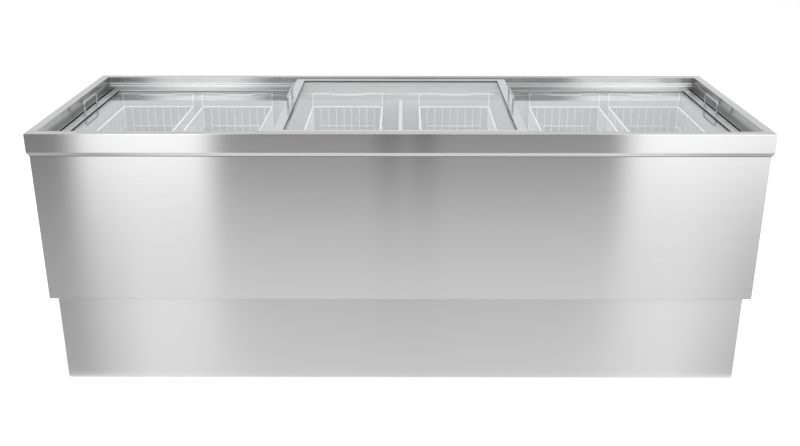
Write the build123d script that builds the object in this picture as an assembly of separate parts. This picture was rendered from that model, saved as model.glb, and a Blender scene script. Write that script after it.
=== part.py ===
from build123d import *
import os

# Overall size of the cabinet, in millimetres: X along the length, front towards -Y, floor at Z = 0
LENGTH = 2100.0
DEPTH = 760.0
HEIGHT = 790.0

# Clearances between pieces that sit side by side, and of a shaft in its bore
FIT = 0.5
SHAFT_CLEARANCE = 0.05

# Rim: a folded stainless cap round the top, in inset from its outer face and drop from its top
RIM_TOP_WIDTH = 28.0
RIM_FASCIA = 55.5
RIM_DROP = 66.0
RIM_CHAMFER = 5.0
RIM_SHEET = 1.4
RIM_INNER_WALL = 21.0
RIM_EDGE_RADIUS = 3.0
MITRE_REACH = 60.0

# Body panels and plinth
PANEL_INSET = 6.5
PANEL_SHEET = 1.2
PANEL_FLANGE = 20.0
PANEL_BEND = 2.0
PLINTH_TOP = 280.0
PLINTH_BOTTOM = 5.0
PLINTH_RECESS = 19.0
PLINTH_SHEET = 1.5
PLINTH_FLANGE = 15.0

# Track profile under the rim: drops below the rim top and insets from the rim's outer face
UPPER_TRACK_DROP = 21.0
UPPER_TRACK_INSET = 36.0
STEP_DROP = 28.0
STEP_INSET = 41.0
LOWER_TRACK_DROP = 55.5
THROAT_INSET = 66.0
THROAT_DROP = 64.0
RAIL_SHEET = 2.0
RAIL_EDGE_RADIUS = 1.2
END_LEDGE = 3.0
END_STEP = 7.0
END_SEAL_WIDTH = 8.0
END_SEAL_LOWERED = 2.0

# Breaker strip and tub
BREAKER_DROP = 74.0
BREAKER_SHEET = 3.0
LINER_SHEET = 1.2
LINER_FLANGE = 16.0
LINER_RADIUS = 20.0
TUB_FLOOR = 342.0
COIL_SPACE = 10.8
DIVIDER_THICKNESS = 13.0
DIVIDER_DROP = 75.0
DIVIDER_EDGE_RADIUS = 5.0

# Evaporator tube wound round the tub
COIL_TUBE = 9.0
COIL_TURNS = 7
COIL_PITCH = 42.0
COIL_FIRST_HEIGHT = 390.0
COIL_OUTLET_X = 1012.0
COIL_INLET_Y = 150.0
COIL_OUTLET_Y = 210.0
COIL_OUTLET_SLANT = 60.0
COIL_TAIL_Z = 262.0

# Sliding lids
LID_THICKNESS = 12.0
UPPER_LID_DROP = 4.0
LOWER_LID_DROP = 38.0
UPPER_LID_HALF_DEPTH = 350.5
LOWER_LID_HALF_DEPTH = 338.0
MIDDLE_LID_HALF_LENGTH = 361.0
OUTER_LID_NEAR = 335.0
OUTER_LID_FAR = 1003.0
MIDDLE_STRIPS = (28.0, 30.0)
OUTER_STRIPS = (24.0, 26.0)
GLASS_THICKNESS = 4.0
GLASS_DROP = 4.0
BEAD_HEIGHT = 7.0
BEAD_IN_FRAME = 9.0
BEAD_SHOWN = 1.6
GLASS_EDGE_GRIP = 8.0
FRAME_EDGE_RADIUS = 1.0
GLIDE_LENGTH = 60.0
GLIDE_END_GAP = 20.0
GLIDE_MARGIN = 1.0
SWEEP_THICKNESS = 3.0
SWEEP_CLEARANCE = 0.5

# Wire handles
HANDLE_WIRE = 6.0
HANDLE_CENTRES = 126.0
HANDLE_HEIGHT = 36.0
HANDLE_BEND = 7.0
HANDLE_COLLAR = 9.5
HANDLE_COLLAR_HEIGHT = 1.2
OUTER_HANDLE_SET_BACK = 60.0
OUTER_HANDLE_EDGE = 5.0

# Wire baskets
BASKET_WIDTH = 247.0
BASKET_LENGTH = 616.0
BASKET_CENTRES = (-843.0, -567.5, -185.0, 185.0, 567.5, 843.0)
BASKET_RIM_DROP = 95.0
BASKET_HEIGHT = 222.0
BASKET_WIRE = 4.0
BASKET_RIM_WIRE = 6.0
BASKET_HOOP_WIRE = 5.0
BASKET_FRONT_GAPS = 9
BASKET_SIDE_GAPS = 22
BASKET_BANDS = (166.0, 241.0)
HOOP_GRIP_HALF = 52.0
HOOP_GRIP_SLOPE = 9.0
HOOP_GRIP_INWARD = 22.0
HOOP_REST_Y = 317.5

# Base frame, feet and machine space at the right-hand end
TUBE = 40.0
TUBE_LOW = 22.0
TUBE_HIGH = 47.0
TUBE_WALL = 2.0
POST = 34.0
FRAME_GAP = 2.0
CROSS_X = (-960.0, -330.0, 330.0, 560.0)
POST_X = (-990.0, -330.0, 330.0)
TRAY_SHEET = 2.0
FOOT_RADIUS = 20.0
FOOT_TOP_RADIUS = 14.0
FOOT_PAD = 12.0
STUD_RADIUS = 7.0
FOOT_X = (-940.0, 0.0, 940.0)
COMPRESSOR_X = 660.0
COMPRESSOR_Y = -110.0
COMPRESSOR_RADIUS = 85.0
COMPRESSOR_HEIGHT = 160.0
COMPRESSOR_CROWN = 42.0
COMPRESSOR_FOOT_RADIUS = 17.0
COMPRESSOR_PLATE = (230.0, 170.0)
COMPRESSOR_PLATE_CORNER = 15.0
COMPRESSOR_PLATE_SHEET = 4.0
COMPRESSOR_PLATE_RAISED = 2.0
PORT_ROOT = 15.0
PORT_LENGTH = 13.0
PORT_WALL = 1.5
SUCTION_SHARE = 0.62
DISCHARGE_SHARE = 0.3
GROMMET = 14.0
GROMMET_RADIUS = 11.0
GROMMET_INSET = 17.0
CONDENSER_X = (945.0, 995.0)
CONDENSER_Y = (-190.0, 290.0)
CONDENSER_Z = (52.0, 212.0)
FIN_COUNT = 40
FIN_SHEET = 1.0
FIN_DEPTH = 20.0
STUB = 12.0
STUB_INSET = 20.0
FAN_Y = 50.0
FAN_Z = 136.0
FAN_RADIUS = 72.0
FAN_BLADES = 5
FAN_SHAFT = 4.0
FAN_HUB_RADIUS = 20.0
FAN_TIP_GAP = 4.0
BLADE_WIDTH = 44.0
BLADE_SHEET = 2.0
BLADE_TILT = 18.0
BLADE_ROOT = 4.0
COWL_X = 938.0
COWL_TOP = 222.0
BLADE_X = (912.0, 930.0)
MOTOR_X = (838.0, 898.0)
MOTOR_RADIUS = 38.0
MOTOR_EDGE_RADIUS = 5.0
ARM_OUT = 88.0
ARM = (10.0, 16.0)
ARM_BRIDGE = 4.0
PIPE = 10.0
CAPILLARY = 6.0
PIPE_BEND = 16.0
SUCTION_BEND = 14.0
CAPILLARY_BEND = 12.0
DISCHARGE_REACH = 45.0
SUCTION_REACH = 30.0
SUCTION_LANE_DROP = 20.0
CAPILLARY_REACH = 25.0
CAPILLARY_LANE_DROP = 34.0
DRIER_RADIUS = 12.0
DRIER_EDGE_RADIUS = 7.0
DRIER_X = (800.0, 900.0)
PIPE_LANE_Y = -225.0

# Controls on the right-hand end of the plinth, inlet at the back, drain at the left-hand end
CONTROL_Y = -235.0
CONTROL_Z = 190.0
CONTROL_PLATE = (104.0, 66.0)
CONTROL_PLATE_DEPTH = 4.0
CONTROL_CORNER = 6.0
CONTROL_EDGE = 1.5
CONTROL_LAP = 6.0
CONTROL_BOX_DEPTH = 25.0
KNOB_Y = CONTROL_Y + 22.0
KNOB_RADIUS = 17.0
KNOB_DEPTH = 15.0
KNOB_EDGE = 2.0
KNOB_SKIRT = 5.5
KNOB_GRIP_WIDTH = 10.0
KNOB_CROWN = 3.0
KNOB_SHAFT = 3.0
KNOB_SHAFT_LENGTH = 11.0
ROCKER_Y = CONTROL_Y - 28.0
ROCKER_SIZE = (16.0, 25.0)
ROCKER_CLEARANCE = 0.6
ROCKER_DEPTH = 9.0
ROCKER_PROUD = 4.0
ROCKER_POCKET_DEPTH = 17.0
ROCKER_TIP_GAP = 0.2
ROCKER_DISH_RADIUS = 18.0
ROCKER_DISH_OUT = 20.5
INLET_X = 700.0
INLET_Z = 200.0
INLET_FLANGE = (50.0, 30.0)
INLET_CAVITY = (25.0, 17.5)
INLET_DEPTH = 24.0
INLET_WALL = 1.8
INLET_BACK_WALL = 4.0
INLET_FLANGE_SHEET = 3.0
INLET_CORNER = 4.0
INLET_PINS = ((-7.0, -2.0), (0.0, 2.0), (7.0, -2.0))
INLET_PIN = (2.0, 4.0)
INLET_PIN_SHORT = 4.0
DRAIN_X = -900.0
DRAIN_Z = 150.0
DRAIN_RADIUS = 12.5
DRAIN_BORE = 10.0
DRAIN_BEND = 35.0
DRAIN_SPIGOT = 14.0
PLUG_CLEARANCE = 0.3
PLUG_DEPTH = 14.0
PLUG_HEAD_RADIUS = 18.0
PLUG_HEAD = 5.0
PLUG_EDGE = 1.5
PLUG_GRIP = (28.0, 5.0, 17.0)
SLOT_LENGTH = 70.0
SLOT_HEIGHT = 6.0
SLOT_PITCH = 15.0
SLOT_ROWS = 11
SLOT_LOW = 65.0
SCREW_HEAD_RADIUS = 5.0
SCREW_HEAD = 2.2
SCREW_HEAD_CROWN = 1.5
SCREW_SHANK = 2.0

# Places worked out from the driving dimensions
HALF_X = LENGTH / 2
HALF_Y = DEPTH / 2
PANEL_X = HALF_X - PANEL_INSET
PANEL_Y = HALF_Y - PANEL_INSET
PANEL_IN_X = PANEL_X - PANEL_SHEET
PANEL_IN_Y = PANEL_Y - PANEL_SHEET
PLINTH_X = PANEL_X - PLINTH_RECESS
PLINTH_Y = PANEL_Y - PLINTH_RECESS
PLINTH_IN_X = PLINTH_X - PLINTH_SHEET
PLINTH_IN_Y = PLINTH_Y - PLINTH_SHEET
TUB_X = HALF_X - THROAT_INSET
TUB_Y = HALF_Y - THROAT_INSET
LOWER_TRACK_Z = HEIGHT - LOWER_TRACK_DROP
THROAT_Z = HEIGHT - THROAT_DROP
LINER_TOP = HEIGHT - BREAKER_DROP
END_WALL_X = HALF_X - RIM_TOP_WIDTH
END_FACE_X = END_WALL_X - END_LEDGE
END_STEP_Y = HALF_Y - STEP_INSET - FIT
END_STEP_Z = HEIGHT - LOWER_LID_DROP - END_SEAL_LOWERED
FLOOR_PLATE_LOW = PLINTH_TOP + PANEL_SHEET
FLOOR_PLATE_HIGH = FLOOR_PLATE_LOW + PANEL_SHEET
FOAM_X = TUB_X + LINER_SHEET + COIL_SPACE
FOAM_Y = TUB_Y + LINER_SHEET + COIL_SPACE
COIL_X = TUB_X + LINER_SHEET + COIL_SPACE / 2
COIL_Y = TUB_Y + LINER_SHEET + COIL_SPACE / 2
COIL_BEND = LINER_RADIUS + LINER_SHEET + COIL_SPACE / 2
COIL_TOP = COIL_FIRST_HEIGHT + COIL_TURNS * COIL_PITCH
BASKET_TOP = HEIGHT - BASKET_RIM_DROP
BASKET_BOTTOM = BASKET_TOP - BASKET_HEIGHT
RAIL_Y = PLINTH_IN_Y - PLINTH_FLANGE - FRAME_GAP
FRAME_END_X = PLINTH_IN_X - FRAME_GAP
TRAY_TOP = TUBE_HIGH + TRAY_SHEET
CONTROL_FACE_X = PLINTH_X + CONTROL_PLATE_DEPTH
SUCTION_Z = TRAY_TOP + GROMMET + COMPRESSOR_HEIGHT * SUCTION_SHARE
DISCHARGE_Z = TRAY_TOP + GROMMET + COMPRESSOR_HEIGHT * DISCHARGE_SHARE
STUB_LOW_Z = CONDENSER_Z[0] + STUB_INSET
STUB_HIGH_Z = CONDENSER_Z[1] - STUB_INSET


def block(x0, x1, y0, y1, z0, z1):
    """A box between two opposite corners."""
    centre = Pos((x0 + x1) / 2, (y0 + y1) / 2, (z0 + z1) / 2)
    return centre * Box(x1 - x0, y1 - y0, z1 - z0)


def block_across_x(x0, x1, y, z, width, height):
    """A box between two X places, centred on a Y and a Z."""
    return block(x0, x1, y - width / 2, y + width / 2, z - height / 2, z + height / 2)


def block_across_y(x, z, width, height, y0, y1):
    """A box between two Y places, centred on an X and a Z."""
    return block(x - width / 2, x + width / 2, y0, y1, z - height / 2, z + height / 2)


def box_tube(run, x0, x1, y0, y1, z0, z1):
    """A rectangular tube with open ends, its run along one axis."""
    walls = [0.0 if axis == run else TUBE_WALL for axis in "XYZ"]
    bore = block(x0 + walls[0], x1 - walls[0], y0 + walls[1], y1 - walls[1], z0 + walls[2], z1 - walls[2])
    return block(x0, x1, y0, y1, z0, z1) - bore


def rod(start, direction, radius, length):
    """A round bar from a start point along a direction."""
    circle = Plane(origin=start, z_dir=direction) * Circle(radius)
    return extrude(circle, length)


def tube_along(points, bend, radius):
    """A round bar bent along straight runs with a bend radius at each corner."""
    path = FilletPolyline(*points, radius=bend)
    return sweep(path.location_at(0) * Circle(radius), path=path)


def group(*solids):
    """Separate solids kept side by side in one piece."""
    return Compound(children=[s for item in solids for s in item.solids()])


def outline(points):
    """A flat face inside a closed outline."""
    return make_face(Polyline(*points, close=True))


def rounded(face, corners):
    """The face with some of its corners rounded, given as (point, radius) pairs."""
    for point, radius in corners:
        nearest = face.vertices().sort_by_distance(Vector(*point))[0]
        face = fillet(nearest, radius)
    return face


def front_face(points):
    """(inset, drop) points of a section across the front, as (Y, Z) places."""
    return [(inset - HALF_Y, HEIGHT - drop) for inset, drop in points]


def end_face(points):
    """(inset, drop) points of a section across the left-hand end, as (X, Z) places."""
    return [(inset - HALF_X, HEIGHT - drop) for inset, drop in points]


def pulled_along_x(face, half_length):
    return extrude(Plane.YZ * face, half_length, both=True)


def pulled_along_y(face, half_length):
    return extrude(Plane.XZ * face, half_length, both=True)


def to_back(part):
    return mirror(part, about=Plane.XZ)


def to_right(part):
    return mirror(part, about=Plane.YZ)


# Rim
RIM_SECTION = [
    (RIM_TOP_WIDTH, RIM_INNER_WALL),
    (RIM_TOP_WIDTH, 0.0),
    (0.0, 0.0),
    (0.0, RIM_FASCIA),
    (RIM_CHAMFER, RIM_DROP),
    (RIM_CHAMFER + RIM_SHEET, RIM_DROP),
    (RIM_SHEET, RIM_FASCIA - RIM_SHEET / 4),
    (RIM_SHEET, RIM_SHEET),
    (RIM_TOP_WIDTH - RIM_SHEET, RIM_SHEET),
    (RIM_TOP_WIDTH - RIM_SHEET, RIM_INNER_WALL),
]


def rim_face(placed):
    """The rim's section with its three outside folds rounded."""
    folds = [(placed[1], RIM_EDGE_RADIUS / 2), (placed[2], RIM_EDGE_RADIUS), (placed[3], RIM_EDGE_RADIUS)]
    return rounded(outline(placed), folds)


def front_mitre():
    """The wedge of space that belongs to the front strip, between its two mitred corners."""
    corner = [
        (-HALF_X, -HALF_Y),
        (HALF_X, -HALF_Y),
        (HALF_X - MITRE_REACH, MITRE_REACH - HALF_Y),
        (MITRE_REACH - HALF_X, MITRE_REACH - HALF_Y),
    ]
    return extrude(outline(corner), HEIGHT)


def end_mitre():
    """The wedge of space that belongs to the left-hand strip."""
    corner = [
        (-HALF_X, -HALF_Y),
        (-HALF_X, HALF_Y),
        (MITRE_REACH - HALF_X, HALF_Y - MITRE_REACH),
        (MITRE_REACH - HALF_X, MITRE_REACH - HALF_Y),
    ]
    return extrude(outline(corner), HEIGHT)


def make_rim():
    front = pulled_along_x(rim_face(front_face(RIM_SECTION)), HALF_X) & front_mitre()
    left = pulled_along_y(rim_face(end_face(RIM_SECTION)), HALF_Y) & end_mitre()
    return {
        "rim_front": front,
        "rim_back": to_back(front),
        "rim_left": left,
        "rim_right": to_right(left),
    }


# Tracks that the lids slide on
FRONT_RAIL_SECTION = [
    (RIM_TOP_WIDTH - RAIL_SHEET, UPPER_TRACK_DROP),
    (UPPER_TRACK_INSET, UPPER_TRACK_DROP),
    (UPPER_TRACK_INSET, STEP_DROP),
    (STEP_INSET, STEP_DROP),
    (STEP_INSET, LOWER_TRACK_DROP),
    (THROAT_INSET, LOWER_TRACK_DROP),
    (THROAT_INSET, THROAT_DROP),
    (THROAT_INSET - RAIL_SHEET, THROAT_DROP),
    (THROAT_INSET - RAIL_SHEET, LOWER_TRACK_DROP + RAIL_SHEET),
    (STEP_INSET - RAIL_SHEET, LOWER_TRACK_DROP + RAIL_SHEET),
    (STEP_INSET - RAIL_SHEET, STEP_DROP + RAIL_SHEET),
    (UPPER_TRACK_INSET - RAIL_SHEET, STEP_DROP + RAIL_SHEET),
    (UPPER_TRACK_INSET - RAIL_SHEET, UPPER_TRACK_DROP + RAIL_SHEET),
    (RIM_TOP_WIDTH - RAIL_SHEET, UPPER_TRACK_DROP + RAIL_SHEET),
]


def make_rails():
    placed = front_face(FRONT_RAIL_SECTION)
    noses = [(placed[n], RAIL_EDGE_RADIUS) for n in (1, 3, 5)]
    front = pulled_along_x(rounded(outline(placed), noses), END_FACE_X)
    low = LOWER_TRACK_Z - RAIL_SHEET
    ledge_z = HEIGHT - RIM_INNER_WALL
    wall_y = HALF_Y - RIM_TOP_WIDTH
    wall = block(-END_FACE_X - RAIL_SHEET, -END_FACE_X, -wall_y, wall_y, low, ledge_z)
    ledge = block(-END_WALL_X - RAIL_SHEET, -END_FACE_X, -wall_y, wall_y, ledge_z - RAIL_SHEET, ledge_z)
    shelf = block(-END_FACE_X, -TUB_X, -TUB_Y, TUB_Y, low, LOWER_TRACK_Z)
    throat = block(-TUB_X - RAIL_SHEET, -TUB_X, -TUB_Y, TUB_Y, THROAT_Z, LOWER_TRACK_Z)
    step = block(-END_FACE_X, END_STEP - END_FACE_X, -END_STEP_Y, END_STEP_Y, LOWER_TRACK_Z + FIT, END_STEP_Z)
    left = wall + ledge + shelf + throat + step
    return {
        "front_rail": front,
        "back_rail": to_back(front),
        "left_end_rail": left,
        "right_end_rail": to_right(left),
    }


def make_end_seals():
    """Rubber strips beside the end steps, which the outer lids close against."""
    inner = OUTER_LID_FAR + FIT
    left = block(-inner - END_SEAL_WIDTH, -inner, -END_STEP_Y, END_STEP_Y, LOWER_TRACK_Z, END_STEP_Z)
    return {"end_seals": group(left, to_right(left))}


# Tub
def tub_block(half_x, half_y, radius, low, high):
    """An upright block with rounded vertical corners, as the tub and what lies round it."""
    return extrude(Pos(0, 0, low) * RectangleRounded(2 * half_x, 2 * half_y, radius), high - low)


def make_tub():
    out_x = TUB_X + LINER_SHEET
    out_y = TUB_Y + LINER_SHEET
    out_radius = LINER_RADIUS + LINER_SHEET
    shell = tub_block(out_x, out_y, out_radius, TUB_FLOOR - LINER_SHEET, LINER_TOP)
    lip_x = TUB_X + LINER_FLANGE
    lip_y = TUB_Y + LINER_FLANGE
    lip = tub_block(lip_x, lip_y, LINER_RADIUS + LINER_FLANGE, LINER_TOP - LINER_SHEET, LINER_TOP)
    hollow = tub_block(TUB_X, TUB_Y, LINER_RADIUS, TUB_FLOOR, LINER_TOP)
    drain = rod((DRAIN_X, 0, TUB_FLOOR - LINER_SHEET), (0, 0, 1), DRAIN_BORE, LINER_SHEET)
    liner = shell + lip - hollow - drain

    strip = tub_block(
        TUB_X + BREAKER_SHEET, TUB_Y + BREAKER_SHEET, LINER_RADIUS + BREAKER_SHEET, LINER_TOP, THROAT_Z
    )
    strip = strip - tub_block(TUB_X, TUB_Y, LINER_RADIUS, LINER_TOP, THROAT_Z)

    slab_y = TUB_Y - FIT
    half = DIVIDER_THICKNESS / 2
    divider = block(-half, half, -slab_y, slab_y, TUB_FLOOR, HEIGHT - DIVIDER_DROP)
    divider = fillet(divider.edges().filter_by(Axis.Y).group_by(Axis.Z)[-1], DIVIDER_EDGE_RADIUS)
    return {"tub_liner": liner, "breaker_strip": strip, "tub_divider": divider}


def make_insulation():
    body = block(-PANEL_IN_X, PANEL_IN_X, -PANEL_IN_Y, PANEL_IN_Y, FLOOR_PLATE_HIGH, LINER_TOP - LINER_SHEET)
    cavity = tub_block(
        FOAM_X,
        FOAM_Y,
        LINER_RADIUS + LINER_SHEET + COIL_SPACE,
        TUB_FLOOR - LINER_SHEET,
        LINER_TOP - LINER_SHEET,
    )
    floor_hole = TUB_FLOOR - FLOOR_PLATE_HIGH
    drain = rod((DRAIN_X, 0, FLOOR_PLATE_HIGH), (0, 0, 1), DRAIN_RADIUS + FIT, floor_hole)
    inlet = rod((COIL_X, COIL_INLET_Y, FLOOR_PLATE_HIGH), (0, 0, 1), COIL_SPACE / 2, floor_hole)
    foam_top = LINER_TOP - LINER_SHEET
    far_x = COIL_OUTLET_X + COIL_SPACE / 2
    far_y = COIL_OUTLET_Y + COIL_SPACE / 2
    near_y = COIL_OUTLET_Y - COIL_SPACE / 2
    chase = block(far_x - COIL_SPACE, far_x, near_y, far_y, FLOOR_PLATE_HIGH, foam_top)
    pocket_low = COIL_TOP - COIL_BEND - COIL_SPACE / 2
    pocket = block(COIL_X, far_x, near_y - COIL_OUTLET_SLANT, far_y, pocket_low, foam_top)
    return {"insulation": body - cavity - drain - inlet - chase - pocket}


def coil_route():
    """Corner points of the evaporator tube: up from below, round the tub turn by turn, and down again."""
    points = [(COIL_X, COIL_INLET_Y, COIL_TAIL_Z), (COIL_X, COIL_INLET_Y, COIL_FIRST_HEIGHT)]
    for turn in range(COIL_TURNS):
        low = COIL_FIRST_HEIGHT + turn * COIL_PITCH
        high = low + COIL_PITCH
        points.append((COIL_X, COIL_Y, low))
        points.append((-COIL_X, COIL_Y, low))
        points.append((-COIL_X, -COIL_Y, low))
        points.append((COIL_X, -COIL_Y, high))
    points.append((COIL_X, COIL_OUTLET_Y - COIL_OUTLET_SLANT, COIL_TOP))
    points.append((COIL_OUTLET_X, COIL_OUTLET_Y, COIL_TOP))
    points.append((COIL_OUTLET_X, COIL_OUTLET_Y, COIL_TAIL_Z))
    return points


def make_coil():
    return {"evaporator_coil": tube_along(coil_route(), COIL_BEND, COIL_TUBE / 2)}


# Outer casing
def make_panels():
    section = [
        (PANEL_INSET, RIM_SHEET),
        (PANEL_INSET, HEIGHT - PLINTH_TOP),
        (PANEL_INSET + PANEL_FLANGE, HEIGHT - PLINTH_TOP),
        (PANEL_INSET + PANEL_FLANGE, HEIGHT - PLINTH_TOP - PANEL_SHEET),
        (PANEL_INSET + PANEL_SHEET, HEIGHT - PLINTH_TOP - PANEL_SHEET),
        (PANEL_INSET + PANEL_SHEET, RIM_SHEET),
    ]
    placed = front_face(section)
    front = pulled_along_x(rounded(outline(placed), [(placed[1], PANEL_BEND)]), PANEL_X)
    placed = end_face(section)
    side = pulled_along_y(rounded(outline(placed), [(placed[1], PANEL_BEND)]), PANEL_IN_Y)
    flange_end = PANEL_Y - PANEL_FLANGE
    for y0, y1 in ((-PANEL_Y, -flange_end), (flange_end, PANEL_Y)):
        side = side - block(-PANEL_X, 0, y0, y1, PLINTH_TOP, FLOOR_PLATE_LOW)
    return {
        "front_panel": front,
        "back_panel": to_back(front),
        "left_panel": side,
        "right_panel": to_right(side),
    }


def make_floor_plate():
    plate = block(-PANEL_IN_X, PANEL_IN_X, -PANEL_IN_Y, PANEL_IN_Y, FLOOR_PLATE_LOW, FLOOR_PLATE_HIGH)
    drain = rod((DRAIN_X, 0, FLOOR_PLATE_LOW), (0, 0, 1), DRAIN_RADIUS + FIT, PANEL_SHEET)
    inlet = rod((COIL_X, COIL_INLET_Y, FLOOR_PLATE_LOW), (0, 0, 1), COIL_SPACE / 2, PANEL_SHEET)
    outlet = rod((COIL_OUTLET_X, COIL_OUTLET_Y, FLOOR_PLATE_LOW), (0, 0, 1), COIL_SPACE / 2, PANEL_SHEET)
    return {"floor_plate": plate - drain - inlet - outlet}


def slot_rows(centres):
    """Flat louvre slots in rows, as (across, height) places of a plinth panel."""
    rows = [SLOT_LOW + row * SLOT_PITCH for row in range(SLOT_ROWS)]
    return [(across, height) for across in centres for height in rows]


END_SLOT_Y = (-20.0, 80.0, 180.0)
BACK_SLOT_X = (560.0, 820.0, 920.0)
LEFT_SLOT_Y = (-180.0, 180.0)
SCREW_ROWS = (40.0, 250.0)
END_SCREW_Y = (-330.0, 330.0)
BACK_SCREW_X = (-1000.0, -330.0, 330.0, 1000.0)


def slot_cutter():
    """A louvre slot's shape, long enough to pass through a plinth panel."""
    return extrude(SlotOverall(SLOT_LENGTH, SLOT_HEIGHT), 2 * PLINTH_SHEET, both=True)


def end_slot(x, y, z):
    """A louvre slot cut through an end panel of the plinth."""
    return Pos(x, y, z) * (Rot(0, 90, 0) * (Rot(0, 0, 90) * slot_cutter()))


def back_slot(x, z):
    """A louvre slot cut through the back panel of the plinth."""
    return Pos(x, PLINTH_Y, z) * (Rot(90, 0, 0) * slot_cutter())


def make_plinth_back(front):
    """The back panel: louvres, the inlet's cut-out and screw holes."""
    back = to_back(front)
    for x, z in slot_rows(BACK_SLOT_X):
        back = back - back_slot(x, z)
    cut_out = [size + 2 * INLET_WALL + FIT for size in INLET_CAVITY]
    back = back - block_across_y(INLET_X, INLET_Z, *cut_out, PLINTH_IN_Y, PLINTH_Y)
    for x in BACK_SCREW_X:
        for z in SCREW_ROWS:
            back = back - rod((x, PLINTH_IN_Y, z), (0, 1, 0), SCREW_SHANK + SHAFT_CLEARANCE, PLINTH_SHEET)
    return back


def make_plinth():
    panel = block(-PLINTH_X, PLINTH_X, -PLINTH_Y, -PLINTH_IN_Y, PLINTH_BOTTOM, PLINTH_TOP)
    flange_high = PLINTH_BOTTOM + PLINTH_SHEET
    flange_y = PLINTH_FLANGE - PLINTH_IN_Y
    front = panel + block(-PLINTH_IN_X, PLINTH_IN_X, -PLINTH_IN_Y, flange_y, PLINTH_BOTTOM, flange_high)
    left = block(-PLINTH_X, -PLINTH_IN_X, -PLINTH_IN_Y, PLINTH_IN_Y, PLINTH_BOTTOM, PLINTH_TOP)
    for y in END_SCREW_Y:
        for z in SCREW_ROWS:
            left = left - rod((-PLINTH_X, y, z), (1, 0, 0), SCREW_SHANK + SHAFT_CLEARANCE, PLINTH_SHEET)
    right = to_right(left)
    for y, z in slot_rows(LEFT_SLOT_Y):
        left = left - end_slot(-PLINTH_X, y, z)
    left = left - rod((-PLINTH_X, 0, DRAIN_Z), (1, 0, 0), DRAIN_RADIUS + FIT, PLINTH_SHEET)
    for y, z in slot_rows(END_SLOT_Y):
        right = right - end_slot(PLINTH_X, y, z)
    window = [size - 2 * CONTROL_LAP + 2 * FIT for size in CONTROL_PLATE]
    right = right - block_across_x(PLINTH_IN_X, PLINTH_X, CONTROL_Y, CONTROL_Z, *window)
    return {
        "plinth_front": front,
        "plinth_back": make_plinth_back(front),
        "plinth_left": left,
        "plinth_right": right,
    }


def screw_at(place, outwards):
    """A round-headed screw: its head on the panel and its shank through the sheet."""
    head = rod(place, outwards, SCREW_HEAD_RADIUS, SCREW_HEAD)
    rims = head.edges().filter_by(GeomType.CIRCLE)
    outer_rim = rims.sort_by_distance(Vector(*place) + Vector(*outwards) * LENGTH)[0]
    head = fillet(outer_rim, SCREW_HEAD_CROWN)
    inwards = tuple(-v for v in outwards)
    return head + rod(place, inwards, SCREW_SHANK, PLINTH_SHEET)


def make_screws():
    screws = []
    for z in SCREW_ROWS:
        for y in END_SCREW_Y:
            screws.append(screw_at((-PLINTH_X, y, z), (-1, 0, 0)))
            screws.append(screw_at((PLINTH_X, y, z), (1, 0, 0)))
        for x in BACK_SCREW_X:
            screws.append(screw_at((x, PLINTH_Y, z), (0, 1, 0)))
    return {"panel_screws": group(*screws)}


# Base frame and feet
def make_base():
    """Box-tube rails, cross-members and posts, with a sheet tray under the cooling machine."""
    tubes = []
    for side in (-1, 1):
        y0, y1 = sorted((side * RAIL_Y, side * (RAIL_Y - TUBE)))
        tubes.append(box_tube("X", -FRAME_END_X, FRAME_END_X, y0, y1, TUBE_LOW, TUBE_HIGH))
        for x in POST_X:
            x0, x1 = x - POST / 2, x + POST / 2
            tubes.append(box_tube("Z", x0, x1, y0, y0 + POST, TUBE_HIGH, FLOOR_PLATE_LOW))
    post_x = FRAME_END_X - POST
    for y0 in (-RAIL_Y, RAIL_Y - POST):
        tubes.append(box_tube("Z", post_x, FRAME_END_X, y0, y0 + POST, TRAY_TOP, FLOOR_PLATE_LOW))
    inner = RAIL_Y - TUBE
    for x in CROSS_X:
        tubes.append(box_tube("Y", x - TUBE / 2, x + TUBE / 2, -inner, inner, TUBE_LOW, TUBE_HIGH))
    tray = block(CROSS_X[-1], FRAME_END_X, -RAIL_Y, RAIL_Y, TUBE_HIGH, TRAY_TOP)
    return {"base_frame": group(*tubes, tray)}


def make_feet():
    standing = (Align.CENTER, Align.CENTER, Align.MIN)
    pad = Cone(FOOT_RADIUS, FOOT_TOP_RADIUS, FOOT_PAD, align=standing)
    stud = Pos(0, 0, FOOT_PAD) * Cylinder(STUD_RADIUS, TUBE_LOW - FOOT_PAD, align=standing)
    foot_y = RAIL_Y - TUBE / 2
    feet = [Pos(x, y, 0) * (pad + stud) for x in FOOT_X for y in (-foot_y, foot_y)]
    return {"levelling_feet": group(*feet)}


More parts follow.
